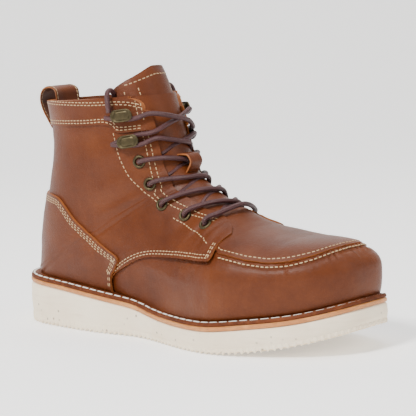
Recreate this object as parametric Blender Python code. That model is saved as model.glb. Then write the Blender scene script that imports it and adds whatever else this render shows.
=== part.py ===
"""A wedge sole work boot for the right foot, with a moc toe and a six inch shaft.

Metres. The toe points along +X, the inner (medial) side is +Y and up is +Z. The origin
is on the tread plane, half way along the sole. Every height of the upper is measured
from the welt right below it, so that the upper follows the wedge.
"""

import math

import bmesh
import bpy
import numpy as np
from mathutils import Matrix, Vector

# Driving sizes of the sole.
LENGTH = 0.308
BALL_WIDTH = 0.110
HEEL_THICK = 0.0314
BALL_THICK = 0.0155
TOE_SPRING = 0.0174
MIDSOLE = 0.0030
WELT = 0.0027
WELT_WIDTH = 0.0135
SIDE_BEAD = 0.0006
LUG_PITCH = 0.0125
LUG_GROOVE = 0.0042
LUG_DEPTH = 0.0024
LUG_TAPER = 0.0006
INSOLE_STAND = 0.0022
INSOLE_CLEAR = 0.0012
INSOLE_SIDE = 0.0032
HEEL_CENTRING = 0.02

# Driving sizes of the upper.
SHAFT = 0.138
WALL = 0.0016
PANEL = 0.0016
OVERLAY = 0.0028
TONGUE = 0.0030
TONGUE_WIDTH = 0.054
THROAT = 0.036
LEDGE_HEEL = 0.0113
LEDGE_BALL = 0.0058
CLEAR = 0.0003
TONGUE_CLEAR = 0.0024
LOOP_WIDTH = 0.025
LOOP_THICK = 0.0016
LOOP_REACH = 0.0100
LOOP_BOW = 0.0024
LOOP_STEPS = 14
TONGUE_COLUMNS = 7
TONGUE_ROWS = (
    # row, share of the half width, extra depth
    (0.0, 0.66, 0.0),
    (0.35, 0.88, 0.0),
    (0.8, 0.98, 0.0),
    (1.3, 1.0, 0.0),
    (2.0, 1.0, 0.0),
    (3.0, 1.0, 0.0),
    (4.0, 0.96, 0.0),
    (5.5, 0.90, 0.0),
    (7.5, 0.84, 0.0002),
    (11.0, 0.82, 0.0002),
    (14.0, 0.82, 0.0002),
    (15.5, 0.82, 0.0004),
    (17.0, 0.82, 0.0008),
    (18.2, 0.82, 0.0012),
    (19.0, 0.80, 0.0016),
)

# Driving sizes of the lacing.
LACE = 0.0038
EYELET = 0.0098
EYELET_HOLE = 0.0052
EYELET_PLATE = 0.0008
EYELET_SIDES = 10
HOOK_LENGTH = 0.0170
HOOK_WIDTH = 0.0095
HOOK_PLATE = 0.0010
HOOK_SPACE = 0.0042
KEEPER_WIDTH = 0.013
KEEPER_THICK = 0.0016
LACE_STOP = 0.0006
BAR_AHEAD = 0.0015
HOOK_PASS = 0.0034

LATERAL, MEDIAL = -1.0, 1.0

# Outline of the sole: along as a share of LENGTH, across as a share of BALL_WIDTH.
OUTLINE = (
    # along, across
    (-0.0036, 0.000),
    (0.036, -0.242),
    (0.147, -0.341),
    (0.308, -0.366),
    (0.423, -0.347),
    (0.534, -0.422),
    (0.681, -0.514),
    (0.810, -0.442),
    (0.927, -0.295),
    (0.987, -0.090),
    (0.9993, 0.071),
    (0.994, 0.265),
    (0.920, 0.422),
    (0.795, 0.508),
    (0.666, 0.473),
    (0.536, 0.345),
    (0.406, 0.291),
    (0.276, 0.318),
    (0.130, 0.345),
    (0.039, 0.245),
)

# Wedge: share of the step from BALL_THICK up to HEEL_THICK, along the sole.
WEDGE = (
    # along, rise
    (0.00, 1.00),
    (0.19, 0.82),
    (0.39, 0.40),
    (0.52, 0.02),
    (0.65, 0.00),
    (0.78, 0.09),
    (0.91, 0.00),
    (1.00, -0.06),
)
SPRING_FROM = 0.661

# Half sections of the upper, from the tongue's top down the shaft, round the heel and
# along the foot. Back and front are the two ends of each section's middle line: along
# is a share of LENGTH, high a share of SHAFT. Below the shaft the back end runs along
# the feather, by its share of the feather's length. Lat and med are the greatest half
# widths over BALL_WIDTH, widest says where, as a share of the way from back to front,
# and the two powers round the curve behind and before it.
SECTIONS = (
    # back_along, back_high, front_along, front_high, lat, med, widest, power_back, power_front, shift
    (0.101, 1.112, 0.403, 1.226, 0.300, 0.300, 0.48, 2.3, 2.3, 0.000),
    (0.091, 0.967, 0.438, 1.087, 0.305, 0.305, 0.48, 2.3, 2.3, 0.000),
    (0.096, 0.851, 0.451, 1.019, 0.297, 0.297, 0.48, 2.2, 2.3, 0.000),
    (0.097, 0.728, 0.464, 0.936, 0.296, 0.296, 0.47, 2.2, 2.3, 0.000),
    (0.091, 0.604, 0.476, 0.861, 0.303, 0.303, 0.46, 2.2, 2.3, 0.000),
    (0.075, 0.457, 0.487, 0.792, 0.305, 0.305, 0.45, 2.2, 2.3, 0.000),
    (0.055, 0.310, 0.500, 0.739, 0.302, 0.302, 0.44, 2.2, 2.3, 0.000),
    (0.041, 0.163, 0.513, 0.704, 0.297, 0.297, 0.43, 2.2, 2.3, 0.000),
    (0.035, 0.075, 0.523, 0.687, 0.293, 0.293, 0.42, 2.2, 2.3, 0.000),
    (0.000, 0.000, 0.529, 0.678, 0.290, 0.290, 0.41, 2.2, 2.2, 0.000),
    (0.005, 0.000, 0.534, 0.669, 0.288, 0.288, 0.41, 2.0, 2.2, 0.000),
    (0.020, 0.000, 0.541, 0.659, 0.287, 0.287, 0.40, 1.8, 2.2, 0.000),
    (0.034, 0.000, 0.5455, 0.652, 0.287, 0.286, 0.395, 1.8, 2.2, 0.000),
    (0.051, 0.000, 0.550, 0.645, 0.288, 0.286, 0.39, 1.7, 2.2, 0.000),
    (0.103, 0.000, 0.563, 0.627, 0.291, 0.285, 0.38, 1.7, 2.2, 0.000),
    (0.171, 0.000, 0.579, 0.604, 0.295, 0.284, 0.37, 1.8, 2.2, 0.000),
    (0.240, 0.000, 0.597, 0.582, 0.301, 0.281, 0.36, 2.0, 2.2, 0.000),
    (0.308, 0.000, 0.613, 0.561, 0.310, 0.275, 0.35, 2.0, 2.2, 0.000),
    (0.377, 0.000, 0.630, 0.539, 0.325, 0.272, 0.35, 2.0, 2.2, 0.000),
    (0.446, 0.000, 0.645, 0.520, 0.345, 0.282, 0.35, 2.0, 2.1, 0.000),
    (0.514, 0.000, 0.659, 0.498, 0.385, 0.310, 0.36, 2.0, 2.1, 0.000),
    (0.576, 0.000, 0.674, 0.473, 0.427, 0.364, 0.37, 2.0, 2.1, 0.000),
    (0.631, 0.000, 0.692, 0.445, 0.463, 0.414, 0.38, 2.0, 2.2, 0.000),
    (0.686, 0.000, 0.716, 0.417, 0.488, 0.452, 0.40, 2.0, 2.3, 0.004),
    (0.741, 0.000, 0.747, 0.392, 0.486, 0.463, 0.42, 2.0, 2.5, 0.014),
    (0.789, 0.000, 0.786, 0.364, 0.469, 0.452, 0.44, 2.0, 2.6, 0.030),
    (0.837, 0.000, 0.826, 0.341, 0.445, 0.427, 0.45, 2.0, 2.7, 0.045),
)
COLLAR_ROW, FEATHER_ROW, LAST_ROW = 1, 9, len(SECTIONS) - 1
TOE_WIDEST, TOE_POWER, TOE_OVERHANG = 0.47, 3.0, 0.0030
TOE_TURNS = 6
LAP_FROM, LAP_OVER = 17.2, 1.6
UPRIGHT_TO, UPRIGHT_SHARE = 13, 0.45
COLUMNS, COLUMN_POWER = 11, 1.3

# Panel edges seen from the side: along as a share of LENGTH, high as a share of SHAFT
# over the heel's welt. The plug's outline is seen from above: across over BALL_WIDTH.
COUNTER_EDGE = (
    # along, high
    (0.340, -0.130),
    (0.334, 0.030),
    (0.350, 0.075),
    (0.364, 0.133),
    (0.330, 0.178),
    (0.292, 0.225),
    (0.221, 0.336),
    (0.190, 0.405),
    (0.172, 0.436),
    (0.130, 0.452),
    (0.070, 0.456),
    (0.066, 0.520),
    (0.058, 0.545),
)
BAND_EDGE = (
    # along, high
    (0.050, 0.822),
    (0.270, 0.838),
    (0.340, 0.846),
    (0.354, 0.836),
    (0.366, 0.812),
    (0.376, 0.806),
    (0.430, 0.815),
    (0.520, 0.826),
)
QUARTER_EDGE = (
    # along, high
    (0.318, -0.130),
    (0.330, 0.020),
    (0.380, 0.090),
    (0.422, 0.136),
    (0.462, 0.160),
    (0.560, 0.178),
    (0.675, 0.190),
    (0.690, 0.196),
    (0.694, 0.275),
    (0.704, 0.322),
    (0.703, 0.372),
)
PLUG_EDGE = (
    # along, across
    (0.652, 0.425),
    (0.704, 0.425),
    (0.779, 0.425),
    (0.825, 0.410),
    (0.871, 0.372),
    (0.909, 0.300),
    (0.938, 0.200),
    (0.953, 0.110),
    (0.956, 0.045),
)
PLUG_SHIFT = 0.018
PLUG_FROM = 0.20
FLAP_EDGE = (
    # along, across
    (0.655, 0.500),
    (0.672, 0.530),
    (0.690, 0.620),
    (0.702, 0.780),
    (0.712, 1.000),
)
COLLAR_CORNER = 0.009
HEEL_ROOM = 0.0009

# Lace holes down one side: row of SECTIONS and half width over BALL_WIDTH. The first two
# are hooks.
HOOKS = ((2.15, 0.245), (3.65, 0.245))
EYELETS = ((4.95, 0.232), (6.95, 0.214), (13.75, 0.213), (16.45, 0.214), (19.2, 0.227))

# The keeper's path down the tongue: distance from the crossing and rise over the tongue.
KEEPER_PATH = (
    # run, rise
    (-0.0120, 0.0),
    (-0.0085, 0.0004),
    (-0.0066, 0.0050),
    (-0.0034, 0.0102),
    (0.0034, 0.0102),
    (0.0062, 0.0050),
    (0.0074, 0.0004),
    (0.0086, 0.0),
)

# The lateral lace end, in metres: up from the top hook, over the collar, down the shaft.
LACE_END = (
    # x, away from the middle, z
    (-0.0420, 0.0372, 0.1640),
    (-0.0430, 0.0370, 0.1720),
    (-0.0445, 0.0350, 0.1785),
    (-0.0455, 0.0302, 0.1800),
    (-0.0465, 0.0262, 0.1765),
    (-0.0475, 0.0250, 0.1680),
    (-0.0480, 0.0248, 0.1500),
    (-0.0480, 0.0248, 0.1350),
)

COLOURS = {
    "crepe": ((0.86, 0.80, 0.70), 0.75, 0.0),
    "natural_leather": ((0.62, 0.36, 0.17), 0.6, 0.0),
    "welt_leather": ((0.30, 0.10, 0.04), 0.55, 0.0),
    "upper_leather": ((0.24, 0.075, 0.03), 0.45, 0.0),
    "tongue_leather": ((0.22, 0.065, 0.025), 0.5, 0.0),
    "insole_leather": ((0.45, 0.27, 0.14), 0.7, 0.0),
    "brass": ((0.16, 0.15, 0.08), 0.4, 0.9),
    "waxed_cord": ((0.17, 0.07, 0.08), 0.6, 0.0),
}


def clear_scene():
    for old in list(bpy.data.objects):
        bpy.data.objects.remove(old, do_unlink=True)


def material(name):
    found = bpy.data.materials.get(name)
    if found:
        return found
    colour, roughness, metallic = COLOURS[name]
    made = bpy.data.materials.new(name)
    made.use_nodes = True
    shader = made.node_tree.nodes["Principled BSDF"]
    shader.inputs["Base Color"].default_value = (*colour, 1.0)
    shader.inputs["Roughness"].default_value = roughness
    shader.inputs["Metallic"].default_value = metallic
    return made


def add_object(name, points, faces, finish, welded=1e-6):
    """A closed mesh object with its normals outwards."""
    mesh = bpy.data.meshes.new(name)
    work = bmesh.new()
    verts = [work.verts.new(Vector(map(float, p))) for p in points]
    for face in faces:
        if len(set(face)) > 2:
            work.faces.new([verts[i] for i in face])
    bmesh.ops.remove_doubles(work, verts=work.verts, dist=welded)
    bmesh.ops.dissolve_degenerate(work, edges=work.edges, dist=1e-7)
    bmesh.ops.recalc_face_normals(work, faces=work.faces)
    work.to_mesh(mesh)
    work.free()
    if finish:
        mesh.materials.append(material(finish))
    made = bpy.data.objects.new(name, mesh)
    bpy.context.collection.objects.link(made)
    return made


def add_cutter(name, points, faces):
    cutter = add_object(name, points, faces, None)
    cutter.hide_render = True
    cutter.display_type = "WIRE"
    return cutter


def boolean(target, cutter, operation):
    step = target.modifiers.new(cutter.name, "BOOLEAN")
    step.operation = operation
    step.object = cutter
    step.solver = "MANIFOLD"


def curve_through(points, count):
    """Points on a smooth open curve through these points."""
    points = np.asarray(points, float)
    steps = np.sqrt(np.linalg.norm(np.diff(points, axis=0), axis=1))
    knots = np.concatenate([[0.0], np.cumsum(steps)])
    slopes = np.gradient(points, knots, axis=0)
    at = np.linspace(0, knots[-1], count)
    span = np.clip(np.searchsorted(knots, at, side="right") - 1, 0, len(knots) - 2)
    width = (knots[span + 1] - knots[span])[:, None]
    t = ((at - knots[span]) / width[:, 0])[:, None]
    return (
        (2 * t**3 - 3 * t**2 + 1) * points[span]
        + (t**3 - 2 * t**2 + t) * width * slopes[span]
        + (3 * t**2 - 2 * t**3) * points[span + 1]
        + (t**3 - t**2) * width * slopes[span + 1]
    )


def closed_curve(points, count):
    """Points on a smooth closed curve: the periodic cubic through these points."""
    points = np.asarray(points, float)
    size = len(points)
    steps = np.sqrt(np.linalg.norm(np.roll(points, -1, axis=0) - points, axis=1))
    before = np.roll(steps, 1)
    system = np.zeros((size, size))
    system[range(size), range(size)] = 2 * (before + steps)
    for i in range(size):
        system[i, i - 1] = steps[i]
        system[i, (i + 1) % size] = before[i]
    chords = (np.roll(points, -1, axis=0) - points) / steps[:, None]
    right = 3 * (chords * before[:, None] + np.roll(chords, 1, axis=0) * steps[:, None])
    slopes = np.linalg.solve(system, right)
    knots = np.concatenate([[0.0], np.cumsum(steps)])
    at = np.linspace(0, knots[-1], count, endpoint=False)
    span = np.clip(np.searchsorted(knots, at, side="right") - 1, 0, size - 1)
    following = (span + 1) % size
    width = steps[span][:, None]
    t = ((at - knots[span]) / steps[span])[:, None]
    return (
        (2 * t**3 - 3 * t**2 + 1) * points[span]
        + (t**3 - 2 * t**2 + t) * width * slopes[span]
        + (3 * t**2 - 2 * t**3) * points[following]
        + (t**3 - t**2) * width * slopes[following]
    )


def along(share):
    """Position along the boot, with half the sole's length at zero."""
    return (share - 0.5) * LENGTH


def ledge(x):
    """Width of the welt that shows outside the upper."""
    low, high = along(0.31), along(0.40)
    step = np.clip((np.asarray(x, float) - low) / (high - low), 0, 1)
    return LEDGE_HEEL + (LEDGE_BALL - LEDGE_HEEL) * step * step * (3 - 2 * step)


def sole_outline(inset):
    """The sole's outline drawn in by this much, which may vary along the boot."""
    table = np.array(OUTLINE)
    loop = closed_curve(np.stack([along(table[:, 0]), table[:, 1] * BALL_WIDTH], 1), 480)
    run = np.roll(loop, -1, axis=0) - np.roll(loop, 1, axis=0)
    run /= np.linalg.norm(run, axis=1)[:, None]
    inward = np.stack([-run[:, 1], run[:, 0]], 1)
    depth = inset(loop[:, 0]) if callable(inset) else np.full(len(loop), float(inset))
    return loop + inward * depth[:, None]


def split_outline(inset):
    """Its lateral and medial edges, each from heel to toe."""
    loop = sole_outline(inset)
    heel = int(np.argmin(loop[:, 0]))
    loop = np.roll(loop, -heel, axis=0)
    toe = int(np.argmax(loop[:, 0]))
    return {LATERAL: loop[: toe + 1], MEDIAL: np.vstack([loop[toe:], loop[:1]])[::-1]}


def edge_at(edges, side, x):
    edge = edges[side]
    return np.interp(x, edge[:, 0], edge[:, 1])


def tread_height(x):
    start = along(SPRING_FROM)
    rise = np.clip((np.asarray(x, float) - start) / (LENGTH / 2 - start), 0, None)
    return TOE_SPRING * rise**2


def wedge_top(x):
    table = np.array(WEDGE)
    shares = curve_through(table, 60)
    rise = np.interp(x, along(shares[:, 0]), shares[:, 1])
    return tread_height(x) + BALL_THICK + (HEEL_THICK - BALL_THICK) * rise


def midsole_top(x):
    return wedge_top(x) + CLEAR + MIDSOLE


def welt_top(x):
    return midsole_top(x) + CLEAR + WELT


def seat(x):
    """Height of the upper's lower edge."""
    return welt_top(x) + CLEAR


def stations(edges, count):
    """Places along the boot, closer together at the round ends."""
    low = max(edges[LATERAL][0, 0], edges[MEDIAL][0, 0])
    high = min(edges[LATERAL][-1, 0], edges[MEDIAL][-1, 0])
    turn = (1 - np.cos(np.linspace(0, math.pi, count))) / 2
    return low + (high - low) * turn


def loft(rows):
    """Faces between closed sections with the same number of points, ends included."""
    size = len(rows[0])
    points = [p for row in rows for p in row]
    faces = [
        (i * size + j, i * size + (j + 1) % size, (i + 1) * size + (j + 1) % size, (i + 1) * size + j)
        for i in range(len(rows) - 1)
        for j in range(size)
    ]
    faces.append(tuple(range(size)))
    faces.append(tuple(range(len(points) - 1, len(points) - size - 1, -1)))
    return points, faces


def add_plate(name, inset, low, high, finish, count=30):
    """A plate of the sole's shape between two heights."""
    edges = split_outline(inset)
    rows = []
    for x in stations(edges, count):
        left, right = edge_at(edges, LATERAL, x), edge_at(edges, MEDIAL, x)
        rows.append([(x, left, low(x)), (x, right, low(x)), (x, right, high(x)), (x, left, high(x))])
    return add_object(name, *loft(rows), finish)


def add_ring(name, width, low, high, finish, count=56):
    """A strip round the sole's edge, such as the welt."""
    outer, inner = sole_outline(0.0), sole_outline(width)
    picks = [int(i * len(outer) / count) for i in range(count)]
    points = []
    for i in picks:
        (ox, oy), (ix, iy) = outer[i], inner[i]
        points += [(ox, oy, low(ox)), (ox, oy, high(ox)), (ix, iy, high(ix)), (ix, iy, low(ix))]
    faces = []
    for i in range(count):
        a, b = 4 * i, 4 * ((i + 1) % count)
        faces += [(a + j, a + (j + 1) % 4, b + (j + 1) % 4, b + j) for j in range(4)]
    return add_object(name, points, faces, finish)


def groove_stations():
    """Where each groove between two lugs starts, bottoms out and ends."""
    half = int(0.47 * LENGTH / LUG_PITCH)
    found = []
    for i in range(-half, half):
        middle = (i + 0.5) * LUG_PITCH
        wide = LUG_GROOVE / 2
        found += [(middle - wide, 0.0), (middle - wide + LUG_TAPER, LUG_DEPTH)]
        found += [(middle + wide - LUG_TAPER, LUG_DEPTH), (middle + wide, 0.0)]
    return found


def add_outsole():
    """The wedge, with lugs across its tread and a soft bead along its side."""
    edges = split_outline(0.0)
    ends = stations(edges, 34)
    cuts = groove_stations()
    places = cuts + [(x, 0.0) for x in ends if x < cuts[0][0] - 0.002 or x > cuts[-1][0] + 0.002]
    rows = []
    for x, cut in sorted(places):
        left, right = edge_at(edges, LATERAL, x), edge_at(edges, MEDIAL, x)
        bead = min(SIDE_BEAD, (right - left) / 2)
        low, high = tread_height(x) + cut, wedge_top(x)
        middle = tread_height(x) + 0.45 * (high - tread_height(x))
        rows.append(
            [
                (x, left + bead, low),
                (x, right - bead, low),
                (x, right, middle),
                (x, right, high),
                (x, left, high),
                (x, left, middle),
            ]
        )
    return add_object("outsole", *loft(rows), "crepe")


class Upper:
    """The last-shaped surface: a family of half sections, then turns round the toe."""

    def __init__(self):
        self.table = np.array(SECTIONS)
        self.feather = split_outline(ledge)
        self.heel_end, heel_y = self.feather[LATERAL][0]
        for edge in self.feather.values():
            fade = np.clip(1 - (edge[:, 0] - self.heel_end) / HEEL_CENTRING, 0, 1)
            edge[:, 1] -= heel_y * fade
        self.toe_end = self.feather[LATERAL][-1, 0]
        self.rows = [self.section(s) for s in range(LAST_ROW + 1)]
        top = self.rows[LAST_ROW]
        self.pole = np.array([top["front"][0], top["shift"], top["front"][1]])

    def section(self, s):
        """One row of the table in metres. Rows between two others are straight mixes."""
        first = min(int(s), LAST_ROW - 1)
        row = self.table[first] + (self.table[first + 1] - self.table[first]) * (s - first)
        if s < FEATHER_ROW:
            back_x = along(row[0])
            if s > FEATHER_ROW - 1:
                before = along(self.table[FEATHER_ROW - 1][0])
                back_x = before + (self.heel_end - before) * (s - FEATHER_ROW + 1)
        else:
            back_x = self.heel_end + row[0] * (self.toe_end - self.heel_end)
        front_x = along(row[2])
        found = {
            "back": np.array([back_x, seat(back_x) + row[1] * SHAFT]),
            "front": np.array([front_x, seat(front_x) + row[3] * SHAFT]),
            "wide": {LATERAL: row[4] * BALL_WIDTH, MEDIAL: row[5] * BALL_WIDTH},
            "widest": row[6],
            "powers": (row[7], row[8]),
            "shift": row[9] * BALL_WIDTH,
        }
        found["foot"] = {side: 0.0 for side in (LATERAL, MEDIAL)}
        if s >= FEATHER_ROW:
            for side in (LATERAL, MEDIAL):
                reach = side * (edge_at(self.feather, side, back_x) - found["shift"])
                found["foot"][side] = max(0.0, float(reach))
        return found

    def toe_reach(self, direction):
        """How far the feather lies from the toe's axis in this direction."""
        loop = np.vstack([self.feather[LATERAL], self.feather[MEDIAL][::-1]])
        away = loop - self.pole[:2]
        away = away[away[:, 0] > -0.02]
        turned = np.arctan2(away[:, 1], away[:, 0])
        order = np.argsort(turned)
        angle = math.atan2(direction[1], direction[0])
        return float(np.interp(angle, turned[order], np.linalg.norm(away, axis=1)[order]))

    def half_curve(self, side, s, count=61):
        """Points from the back or feather to the front or ridge on one side."""
        if s <= LAST_ROW:
            row = self.section(s)
            base = np.array([row["back"][0], row["shift"], row["back"][1]])
            top = np.array([row["front"][0], row["shift"], row["front"][1]])
            out = np.array([0.0, side, 0.0])
            foot, wide = row["foot"][side], row["wide"][side]
            widest, (power_back, power_front) = row["widest"], row["powers"]
        else:
            row = self.rows[LAST_ROW]
            turn = min(s - LAST_ROW, 1.0)
            angle = side * (1 - turn) * math.pi / 2
            out = np.array([math.cos(angle), math.sin(angle), 0.0])
            foot = self.toe_reach(out)
            side_hang = row["wide"][side] - row["foot"][side]
            wide = foot + side_hang + (TOE_OVERHANG - side_hang) * turn
            top = self.pole
            edge = self.pole + out * foot
            base = np.array([top[0], top[1], seat(edge[0])])
            widest = row["widest"] + (TOE_WIDEST - row["widest"]) * turn
            power_back = row["powers"][0]
            power_front = row["powers"][1] + (TOE_POWER - row["powers"][1]) * turn
        turns = np.linspace(0, math.pi / 2, count)
        sine, cosine = np.sin(turns), np.cos(turns)
        back_run = widest * (1 - cosine ** (2 / power_back))
        back_out = foot + (wide - foot) * sine ** (2 / power_back)
        if FEATHER_ROW <= s <= LAST_ROW:
            place = base[0] + back_run * (top[0] - base[0])
            wall = side * (edge_at(self.feather, side, place) - row["shift"])
            back_out = wall * (1 + (wide / wall[-1] - 1) * sine ** (2 / power_back))
        front_run = widest + (1 - widest) * sine ** (2 / power_front)
        front_out = wide * cosine ** (2 / power_front)
        run = np.concatenate([back_run, front_run[1:]])
        reach = np.concatenate([back_out, front_out[1:]])
        return base + run[:, None] * (top - base) + reach[:, None] * out

    def spaced(self, side, s, shares):
        """Points at these shares of the half curve's own length."""
        curve = self.half_curve(side, s)
        steps = np.linalg.norm(np.diff(curve, axis=0), axis=1)
        run = np.concatenate([[0.0], np.cumsum(steps)]) / steps.sum()
        return np.stack([np.interp(shares, run, curve[:, k]) for k in range(3)], 1)

    def raw_skin(self, side, s, shares):
        nudge, turn = 0.01, 0.04
        here = self.spaced(side, s, shares)
        ahead = self.spaced(side, s, np.clip(shares + nudge, 0, 1))
        behind = self.spaced(side, s, np.clip(shares - nudge, 0, 1))
        after = self.spaced(side, min(s + turn, LAST_ROW + 1), shares)
        first = FEATHER_ROW if s >= FEATHER_ROW else 0
        before = self.spaced(side, max(s - turn, first), shares)
        across = after - before
        across /= np.maximum(np.linalg.norm(across, axis=1), 1e-12)[:, None]
        if FEATHER_ROW - 1 <= s <= UPRIGHT_TO:
            upright = np.clip(1 - shares / UPRIGHT_SHARE, 0, 1)[:, None]
            across = across * (1 - upright) + np.array([0.0, 0.0, -1.0]) * upright
        normal = np.cross(ahead - behind, across) * side
        if s >= FEATHER_ROW:
            run = (after - before)[shares < 0.001]
            normal[shares < 0.001] = np.stack([-run[:, 1], run[:, 0], 0 * run[:, 0]], 1) * side
        size = np.linalg.norm(normal, axis=1)
        return here, normal / np.maximum(size, 1e-12)[:, None]

    def skin(self, side, s, shares):
        """Points and outward normals at these shares of a half curve."""
        shares = np.asarray(shares, float)
        here, normal = self.raw_skin(side, s, shares)
        other = self.raw_skin(-side, s, shares)[1]
        for i, share in enumerate(shares):
            at_back = share < 0.001 and s <= FEATHER_ROW
            if at_back or share > 0.999 or s >= LAST_ROW + 1:
                both = normal[i] + other[i]
                normal[i] = (both[0], 0.0, both[2])
            if share > 0.999 and s >= LAST_ROW:
                normal[i] = (0.0, 0.0, 1.0)
        return here, normal / np.linalg.norm(normal, axis=1)[:, None]

    def crown(self, s, y, lift):
        """The place at this half width on the front of a row, raised by lift."""
        point, normal = self.crown_frame(s, y)
        return point + normal * lift

    def crown_point(self, s, y):
        row = self.section(s)
        side = LATERAL if y < 0 else MEDIAL
        power = row["powers"][1]
        reach = min(abs(y - row["shift"]) / row["wide"][side], 1.0)
        run = row["widest"] + (1 - row["widest"]) * (1 - reach**power) ** (1 / power)
        (back_x, back_z), (front_x, front_z) = row["back"], row["front"]
        return np.array([back_x + run * (front_x - back_x), y, back_z + run * (front_z - back_z)])

    def slid(self, s, distance):
        """The row that lies this far down the instep from row s."""
        rows = np.linspace(0, LAST_ROW, 10 * LAST_ROW + 1)
        line = np.array([self.crown_point(row, 0.0) for row in rows])
        run = np.concatenate([[0.0], np.cumsum(np.linalg.norm(np.diff(line, axis=0), axis=1))])
        return float(np.interp(np.interp(s, rows, run) + distance, run, rows))

    def crown_frame(self, s, y):
        turn, nudge = 0.3, 0.0015
        after, before = self.crown_point(s + turn, y), self.crown_point(max(s - turn, 0), y)
        left, right = self.crown_point(s, y - nudge), self.crown_point(s, y + nudge)
        normal = np.cross(after - before, right - left)
        return self.crown_point(s, y), normal / np.linalg.norm(normal)

    def hole(self, side, place):
        """The row and half width of a lace hole."""
        return place[0], side * place[1] * BALL_WIDTH


def side_place(entry):
    """A panel edge's point in metres, as seen from the side."""
    return along(entry[0]), seat(along(0.0)) + entry[1] * SHAFT


def mesh_rows():
    """Rows of the mesh: the table's own from the collar down, then turns of the toe."""
    turns = [LAST_ROW + (i + 1) / TOE_TURNS for i in range(TOE_TURNS)]
    return list(range(COLLAR_ROW, LAST_ROW + 1)) + turns


def lapped(s):
    """How far a panel is raised where it laps over the plug's rear end."""
    step = min(max((s - LAP_FROM) / LAP_OVER, 0.0), 1.0)
    return (PANEL + CLEAR) * step * step * (3 - 2 * step)


def add_layer(name, upper, low, high, finish, lift=None, rows=None):
    """A closed skin of the whole upper between two distances from its surface."""
    rows = rows or mesh_rows()
    shares = np.linspace(0, 1, COLUMNS) ** COLUMN_POWER
    points = []
    for side in (LATERAL, MEDIAL):
        for distance in (low, high):
            for s in rows:
                extra = lift(s) if lift else 0.0
                here, normal = upper.skin(side, s, shares)
                points += list(here + normal * (distance + extra))
    block = len(rows) * COLUMNS
    faces = []
    for half in range(2):
        inner, outer = 2 * half * block, (2 * half + 1) * block
        for i in range(len(rows) - 1):
            for j in range(COLUMNS - 1):
                corner = i * COLUMNS + j
                last = corner + COLUMNS + 1
                for half_cell in ((corner, corner + 1, last), (corner, last, last - 1)):
                    faces.append(tuple(inner + k for k in half_cell))
                    faces.append(tuple(outer + k for k in reversed(half_cell)))
        for j in range(COLUMNS - 1):
            faces.append((inner + j, inner + j + 1, outer + j + 1, outer + j))
        for i in range(len(rows) - 1):
            if rows[i] >= FEATHER_ROW:
                a, b = i * COLUMNS, (i + 1) * COLUMNS
                faces.append((inner + a, inner + b, outer + b, outer + a))
    return add_object(name, points, faces, finish, welded=2e-5)


def prism(name, outline, axis, low, high):
    """A cutter: this outline pushed from low to high along Y (1) or Z (2)."""
    size = len(outline)
    points = []
    for place in (low, high):
        for a, b in outline:
            points.append((a, place, b) if axis == 1 else (a, b, place))
    faces = [tuple(range(size)), tuple(range(2 * size - 1, size - 1, -1))]
    faces += [(i, (i + 1) % size, size + (i + 1) % size, size + i) for i in range(size)]
    return add_cutter(name, points, faces)


def throat_outline(extra):
    """The throat seen from above. Its front end goes straight across."""
    half, end = THROAT / 2 + extra, along(0.655) - extra
    start = along(0.34)
    return [(start, -half), (end, -half), (end, half), (start, half)]


def flap_outline():
    """The throat as the flaps leave it, which opens round their lower tips."""
    half, start, far = THROAT / 2, along(0.34), along(0.80)
    edge = [(along(x), y * half * 2) for x, y in FLAP_EDGE]
    wing = 1.2 * BALL_WIDTH
    ring = [(start, half)] + edge + [(far, wing)]
    return ring + [(x, -y) for x, y in reversed(ring)]


def corner_outline():
    """What the round top corner of each flap leaves out, seen from the side."""
    x, z = along(SECTIONS[COLLAR_ROW][2]), seat(along(0.0)) + 0.985 * SHAFT
    middle = (x - 0.0125, z - COLLAR_CORNER)
    arc = [
        (middle[0] + COLLAR_CORNER * math.sin(t), middle[1] + COLLAR_CORNER * math.cos(t))
        for t in np.linspace(0.0, math.pi / 2, 6)
    ]
    over = SHAFT
    return arc + [(arc[-1][0] + over, arc[-1][1]), (arc[-1][0] + over, arc[0][1] + over), (arc[0][0], arc[0][1] + over)]


def panel_outline(edge, closing):
    """A panel's edge, smoothed, and the far corners that close it."""
    places = [side_place(entry) for entry in edge]
    return [tuple(p) for p in curve_through(places, 3 * len(places))] + closing


def around():
    """Far corners outside the boot: low behind, high behind, high in front."""
    back, front = along(-0.2), along(0.72)
    low, high = -0.02, seat(0.0) + 1.4 * SHAFT
    return back, front, low, high


def grown(outline, margin):
    """The outline moved outwards, to leave room beside a neighbour."""
    ring = np.array(outline)
    run = np.roll(ring, -1, axis=0) - np.roll(ring, 1, axis=0)
    run /= np.maximum(np.linalg.norm(run, axis=1), 1e-9)[:, None]
    area = np.sum(ring[:, 0] * np.roll(ring[:, 1], -1) - np.roll(ring[:, 0], -1) * ring[:, 1])
    turn = np.stack([run[:, 1], -run[:, 0]], 1) * np.sign(area)
    return [tuple(p) for p in ring + turn * margin]


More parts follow.
